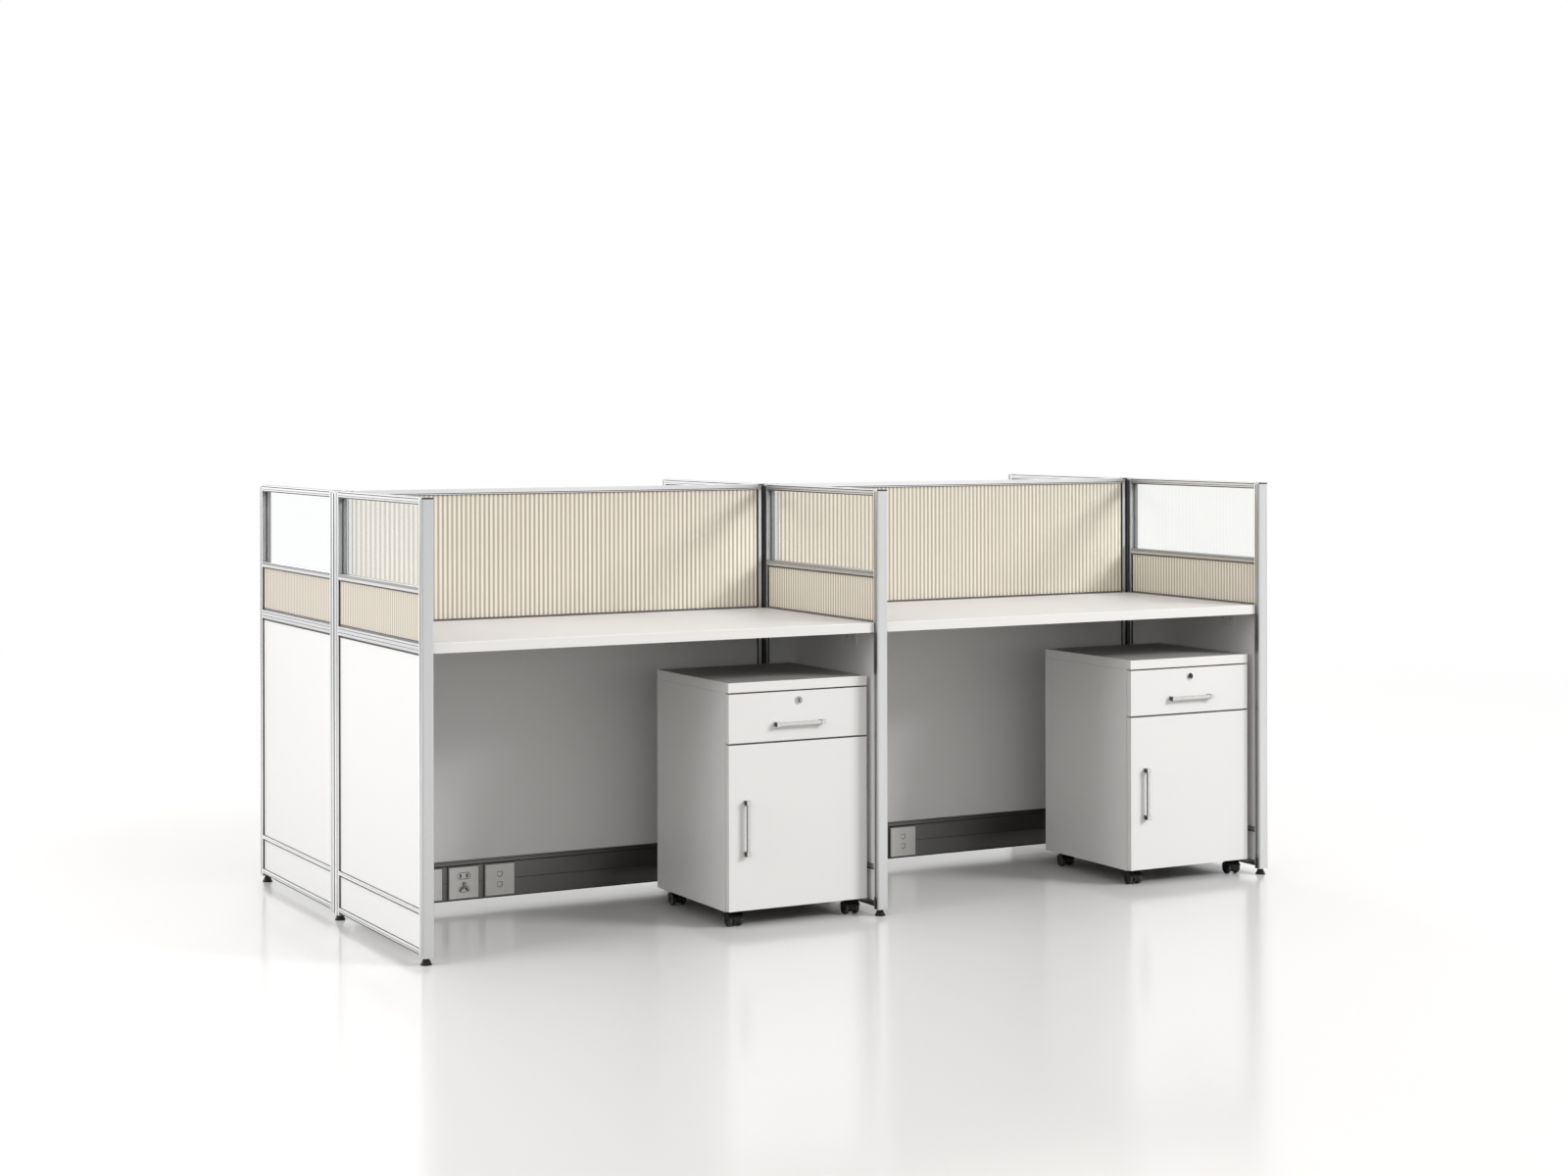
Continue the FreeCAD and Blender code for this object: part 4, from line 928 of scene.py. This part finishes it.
plainParts = {  # finish and width of the rounded edges
    "hardware": ("zinc", 0.0003),
    "drawer_box": ("drawer", 0.0003),
    "runner_mids": ("zinc", 0.0002),
    "hinge_cups": ("zinc", 0.0003),
}
boards = {
    "edge": 0.0006, "topEdge": 0.0012, "frame": 0.0016,
    "trim": 0.0012,  # how far a front's upper and lower edges are drawn in
    "banded": 0.7,  # faces that turn further than this from the front get the edge strip
    "under": 0.03,  # the underside painted near black as painted shade ends this high above the carcass's foot
}


def pedestalFront(node, name):
    # Front board; its upper and lower edges are drawn in a little and painted grey as painted shade, so that a
    # dark gap shows.
    low, high = nodeBox(node)
    piece = sewn(node, name)
    for side, edge in ((1, high.z), (-1, low.z)):
        editing(piece, lambda middle, look: look.z * side > mostly and abs(middle.z - edge) < touching)
        bpy.ops.transform.translate(value=(0, 0, -side * boards["trim"]))
        done()
    soften(piece, boards["edge"])
    paint(piece, "whiteBoard")
    paint(piece, "edgeBand", lambda middle, look: abs(look.y) < boards["banded"])
    paint(piece, "gapShade", lambda middle, look: abs(look.z) > squarely)
    return settle(piece, node)


def carcass(node, name):
    # White boards, with the underside painted near black as painted shade.
    limit = nodeBox(node)[0].z + boards["under"]
    piece = sewn(node, name)
    soften(piece, boards["edge"])
    paint(piece, "whiteBoard")
    paint(piece, "undersideShade", lambda middle, look: look.z < -mostly and middle.z < limit)
    return settle(piece, node)


def pedestalTop(node, name):
    # Top board painted dark grey as painted shade inside a narrow white edge.
    piece = sewn(node, name)
    paint(piece, "edgeBand")
    editing(piece, lambda middle, look: look.z > mostly)
    bpy.ops.mesh.inset(thickness=boards["frame"], depth=0)
    inner = chosen(piece)
    piece.data.materials.append(finishes["topShade"])
    for face in inner:
        face.material_index = 1
    soften(piece, boards["topEdge"], 3)
    return settle(piece, node)


handle = {
    "postLength": 0.012, "postEdge": 0.0010,
    "barHalf": 0.005, "barDeep": 0.007, "barEdge": 0.0022,
    "overlap": 0.001, "setBack": 0.0008,  # of the bar, in the posts and behind their faces
}


def pullHandle(node, name, along):
    # Two square posts with a rounded bar between them, along one axis.
    low, high = nodeBox(node)
    across = 2 - along
    nearEnd, farStart = high.copy(), low.copy()
    nearEnd[along], farStart[along] = low[along] + handle["postLength"], high[along] - handle["postLength"]
    pieces = [trued(softBlock(*ends, handle["postEdge"], 3)) for ends in ((low, nearEnd), (farStart, high))]
    start, end = farStart.copy(), nearEnd.copy()
    start[along], end[along] = nearEnd[along] - handle["overlap"], farStart[along] + handle["overlap"]
    start[across], end[across] = around((low[across] + high[across]) / 2, handle["barHalf"])
    start.y, end.y = low.y + handle["setBack"], low.y + handle["setBack"] + handle["barDeep"]
    pieces.append(trued(softBlock(start, end, handle["barEdge"], 4)))
    piece = joined(name, pieces)
    paint(piece, "nickel")
    # Faces looking to -X are painted dark as painted shade and reflection.
    paint(piece, "nickelShade", lambda spot, look: look.x < -mostly and spot.y > low.y + handle["barEdge"])
    return settle(piece, node)


lockShape = {
    "bezel": [(0.0078, 0.0012), (0.0078, -0.0001), (0.0082, -0.0006), (0.0089, -0.0007), (0.0094, -0.0003),
              (0.0096, 0.0004), (0.0096, 0.0016), (0.0090, 0.0018)],
    "edge": 0.0003, "rimDeep": 0.0006, "deep": 0.0030,  # from the front: the rim, and the floor of the key slot
    "face": 0.0062, "slot": 0.0050,  # reach of the barrel's face and of its key slot
}


def camLock(node, name):
    # Barrel in a raised bezel; its face is painted darker than the nickel and its key slot black, as painted
    # shade.
    front = nodeBox(node)[0].y
    body = sewn(node, name)
    soften(body, lockShape["edge"])
    paint(body, "nickel")
    rim = [corner.co for corner in body.data.vertices if corner.co.y < front + lockShape["rimDeep"]]
    spot = sum(boxOf(rim), Vector()) / 2
    for finish, reach in (("lockFaceShade", "face"), ("holeShade", "slot")):
        paint(body, finish, lambda middle, look: middle.y < front + lockShape["deep"]
              and math.hypot(middle.x - spot.x, middle.z - spot.z) < lockShape[reach])
    bezel = turned("Bezel", lockShape["bezel"], (spot.x, front, spot.z), (0, 1, 0), angle="curved")
    paint(bezel, "nickel")
    return settle(joined(name, [body, bezel]), node)


wheelShape = {
    "outline": [(0, 0.0022), (0.0030, 0.0022), (0.0042, 0.0012), (0.0085, 0.0012), (0.0096, 0.0004),
                (0.0112, 0), (0.0142, 0), (0.0154, 0.0005), (0.0160, 0.0016), (0.0160, 0.0079),
                (0.0154, 0.0090), (0.0142, 0.0095), (0, 0.0095)],
    "steps": 40, "treadFrom": 0.0140,
    "axle": 0.003, "axleInset": 0.004, "axleSteps": 16,
}


def casterWheels(node, name):
    # Two wheels with hub, dish and rounded tread on one axle.
    low, high = nodeBox(node)
    middle = (low + high) / 2
    pieces = [turned("Wheel", wheelShape["outline"], (x, middle.y, middle.z), (way, 0, 0), wheelShape["steps"])
              for x, way in ((low.x, 1), (high.x, -1))]
    ends = wheelShape["axleInset"], high.x - low.x - wheelShape["axleInset"]
    outline = [(0, ends[0]), (wheelShape["axle"], ends[0]), (wheelShape["axle"], ends[1]), (0, ends[1])]
    pieces.append(turned("Axle", outline, (low.x, middle.y, middle.z), (1, 0, 0), wheelShape["axleSteps"]))
    piece = joined(name, pieces)
    paint(piece, "caster")
    paint(piece, "tread", lambda spot, look: math.hypot(spot.y - middle.y, spot.z - middle.z)
          > wheelShape["treadFrom"])
    return settle(piece, node)


hoodShape = {"edge": 0.0005}
for side in ("left", "right"):
    start, title = f"{side}_pedestal_", side.capitalize()
    for part, (finish, width) in plainParts.items():
        dressed(start + part, title + titled(part), finish, width)
    pedestalFront(start + "drawer_front", title + "DrawerFront")
    pedestalFront(start + "door", title + "Door")
    pedestalTop(start + "top", title + "Top")
    carcass(start + "carcass", title + "Carcass")
    pullHandle(start + "drawer_handle", title + "DrawerHandle", 0)
    pullHandle(start + "door_handle", title + "DoorHandle", 2)
    camLock(start + "lock", title + "Lock")
    for place in quarters:
        dressed(f"{start}caster_{place}", title + titled(place) + "Hood", "caster", hoodShape["edge"])
        casterWheels(f"{start}wheels_{place}", title + titled(place) + "Wheels")
print("pedestals dressed")


# Studio

studio = {
    "cameraPlace": (-3.367, -6.321, 1.285), "cameraTurn": (90, 0.108, -28.44), "lens": 59.35, "sensor": 36,
    "rise": -0.1111, "farthest": 200,
    "floorSize": 80, "floorColour": (0.785, 0.785, 0.785), "floorRoughness": 0.16,
    "floorBounce": (0.27, 0.252, 0.235),  # the floor's colour in the light that it throws back
    "whiteFrom": 3.0, "whiteTo": 8.0,  # the floor fades to white between these distances
    "fill": 0.855, "fillColour": (1.0, 0.975, 0.95),
}
# What metal and glass see of the room: the change of light, its direction, and where it begins and is whole.
reflected = (
    (-0.96, (-0.476, -0.879, 0.0), 0.42, 0.88),
    (1.15, (-0.488, 0.872, 0.0), 0.70, 0.95),
    (0.30, (0.620, -0.785, 0.0), 0.70, 0.95),
)
lamps = {
    "Key": {"place": (6.3, -6.9, 5.2), "target": (0.2, -0.2, 0.6), "size": (3.0, 2.4), "watts": 572},
    "Side": {"place": (-4.6, -0.6, 1.9), "target": (-1.2, 0.0, 0.6), "size": (2.4, 1.8), "watts": 76},
    "Rear": {"place": (0.8, 7.5, 3.4), "target": (0.0, 0.0, 0.0), "size": (4.0, 1.6), "watts": 240},
}


def seenRays(finish):
    # 1 for rays that show the background itself, in metal and glass too.
    kinds = ("Is Camera Ray", "Is Glossy Ray", "Is Transmission Ray")
    rays = [finish.add("LightPath", output=kind) for kind in kinds]
    return (rays[0] + rays[1] + rays[2]).ramp(0, 1)


def makeFloor():
    bpy.ops.mesh.primitive_plane_add(size=studio["floorSize"])
    floor = bpy.context.object
    floor.name = "StudioFloor"
    finish = newFinish("studioFloor")
    spot = finish.add("TexCoord", output="Object")
    reach = finish.add("VectorMath", {"operation": "LENGTH"}, {0: spot}, "Value")
    white = reach.ramp(studio["whiteFrom"], studio["whiteTo"])
    bounce = finish.add("LightPath", output="Is Diffuse Ray")
    colour = finish.blend(bounce, tone(studio["floorColour"]), tone(studio["floorBounce"]))
    gloss = finish.add("BsdfPrincipled", {}, {"Base Color": colour, "Roughness": studio["floorRoughness"]})
    glow = finish.add("Emission", {}, {"Color": (1, 1, 1, 1), "Strength": 1.0})
    mixed = finish.add("MixShader", {}, {0: white * seenRays(finish), 1: gloss, 2: glow})
    finish.add("OutputMaterial", {}, {"Surface": mixed})
    floor.data.materials.append(finish.owner)


def makeWorld():
    world = bpy.data.worlds.new("Studio")
    bpy.context.scene.world = world
    finish = Finish(world)
    ahead = finish.add("TexCoord", output="Generated")
    glossy = finish.add("LightPath", output="Is Glossy Ray")
    strength = seenRays(finish) * (1 - studio["fill"]) + studio["fill"]
    for change, towards, start, whole in reflected:
        facing = finish.add("VectorMath", {"operation": "DOT_PRODUCT"}, {0: ahead, 1: towards}, "Value")
        strength = strength + facing.ramp(start, whole) * glossy * change
    colour = finish.blend(seenRays(finish), tone(studio["fillColour"]), tone((1, 1, 1)))
    sky = finish.add("Background", {}, {"Color": colour, "Strength": strength})
    finish.add("OutputWorld", {}, {"Surface": sky})


def makeLamps():
    for name, lamp in lamps.items():
        bpy.ops.object.light_add(type="AREA", location=lamp["place"])
        light = bpy.context.object
        light.name = name
        aim = Vector(lamp["target"]) - Vector(lamp["place"])
        light.rotation_euler = aim.to_track_quat("-Z", "Y").to_euler()
        light.data.shape, light.data.energy = "RECTANGLE", lamp["watts"]
        light.data.size, light.data.size_y = lamp["size"]
        light.visible_glossy = False
        light.visible_camera = False


def makeCamera():
    turn = [math.radians(angle) for angle in studio["cameraTurn"]]
    bpy.ops.object.camera_add(location=studio["cameraPlace"], rotation=turn)
    camera = bpy.context.object
    camera.data.lens, camera.data.sensor_width = studio["lens"], studio["sensor"]
    camera.data.shift_y, camera.data.clip_end = studio["rise"], studio["farthest"]
    bpy.context.scene.camera = camera


makeFloor()
makeWorld()
makeLamps()
makeCamera()
bpy.context.scene.view_settings.view_transform = "Standard"
print("studio ready")
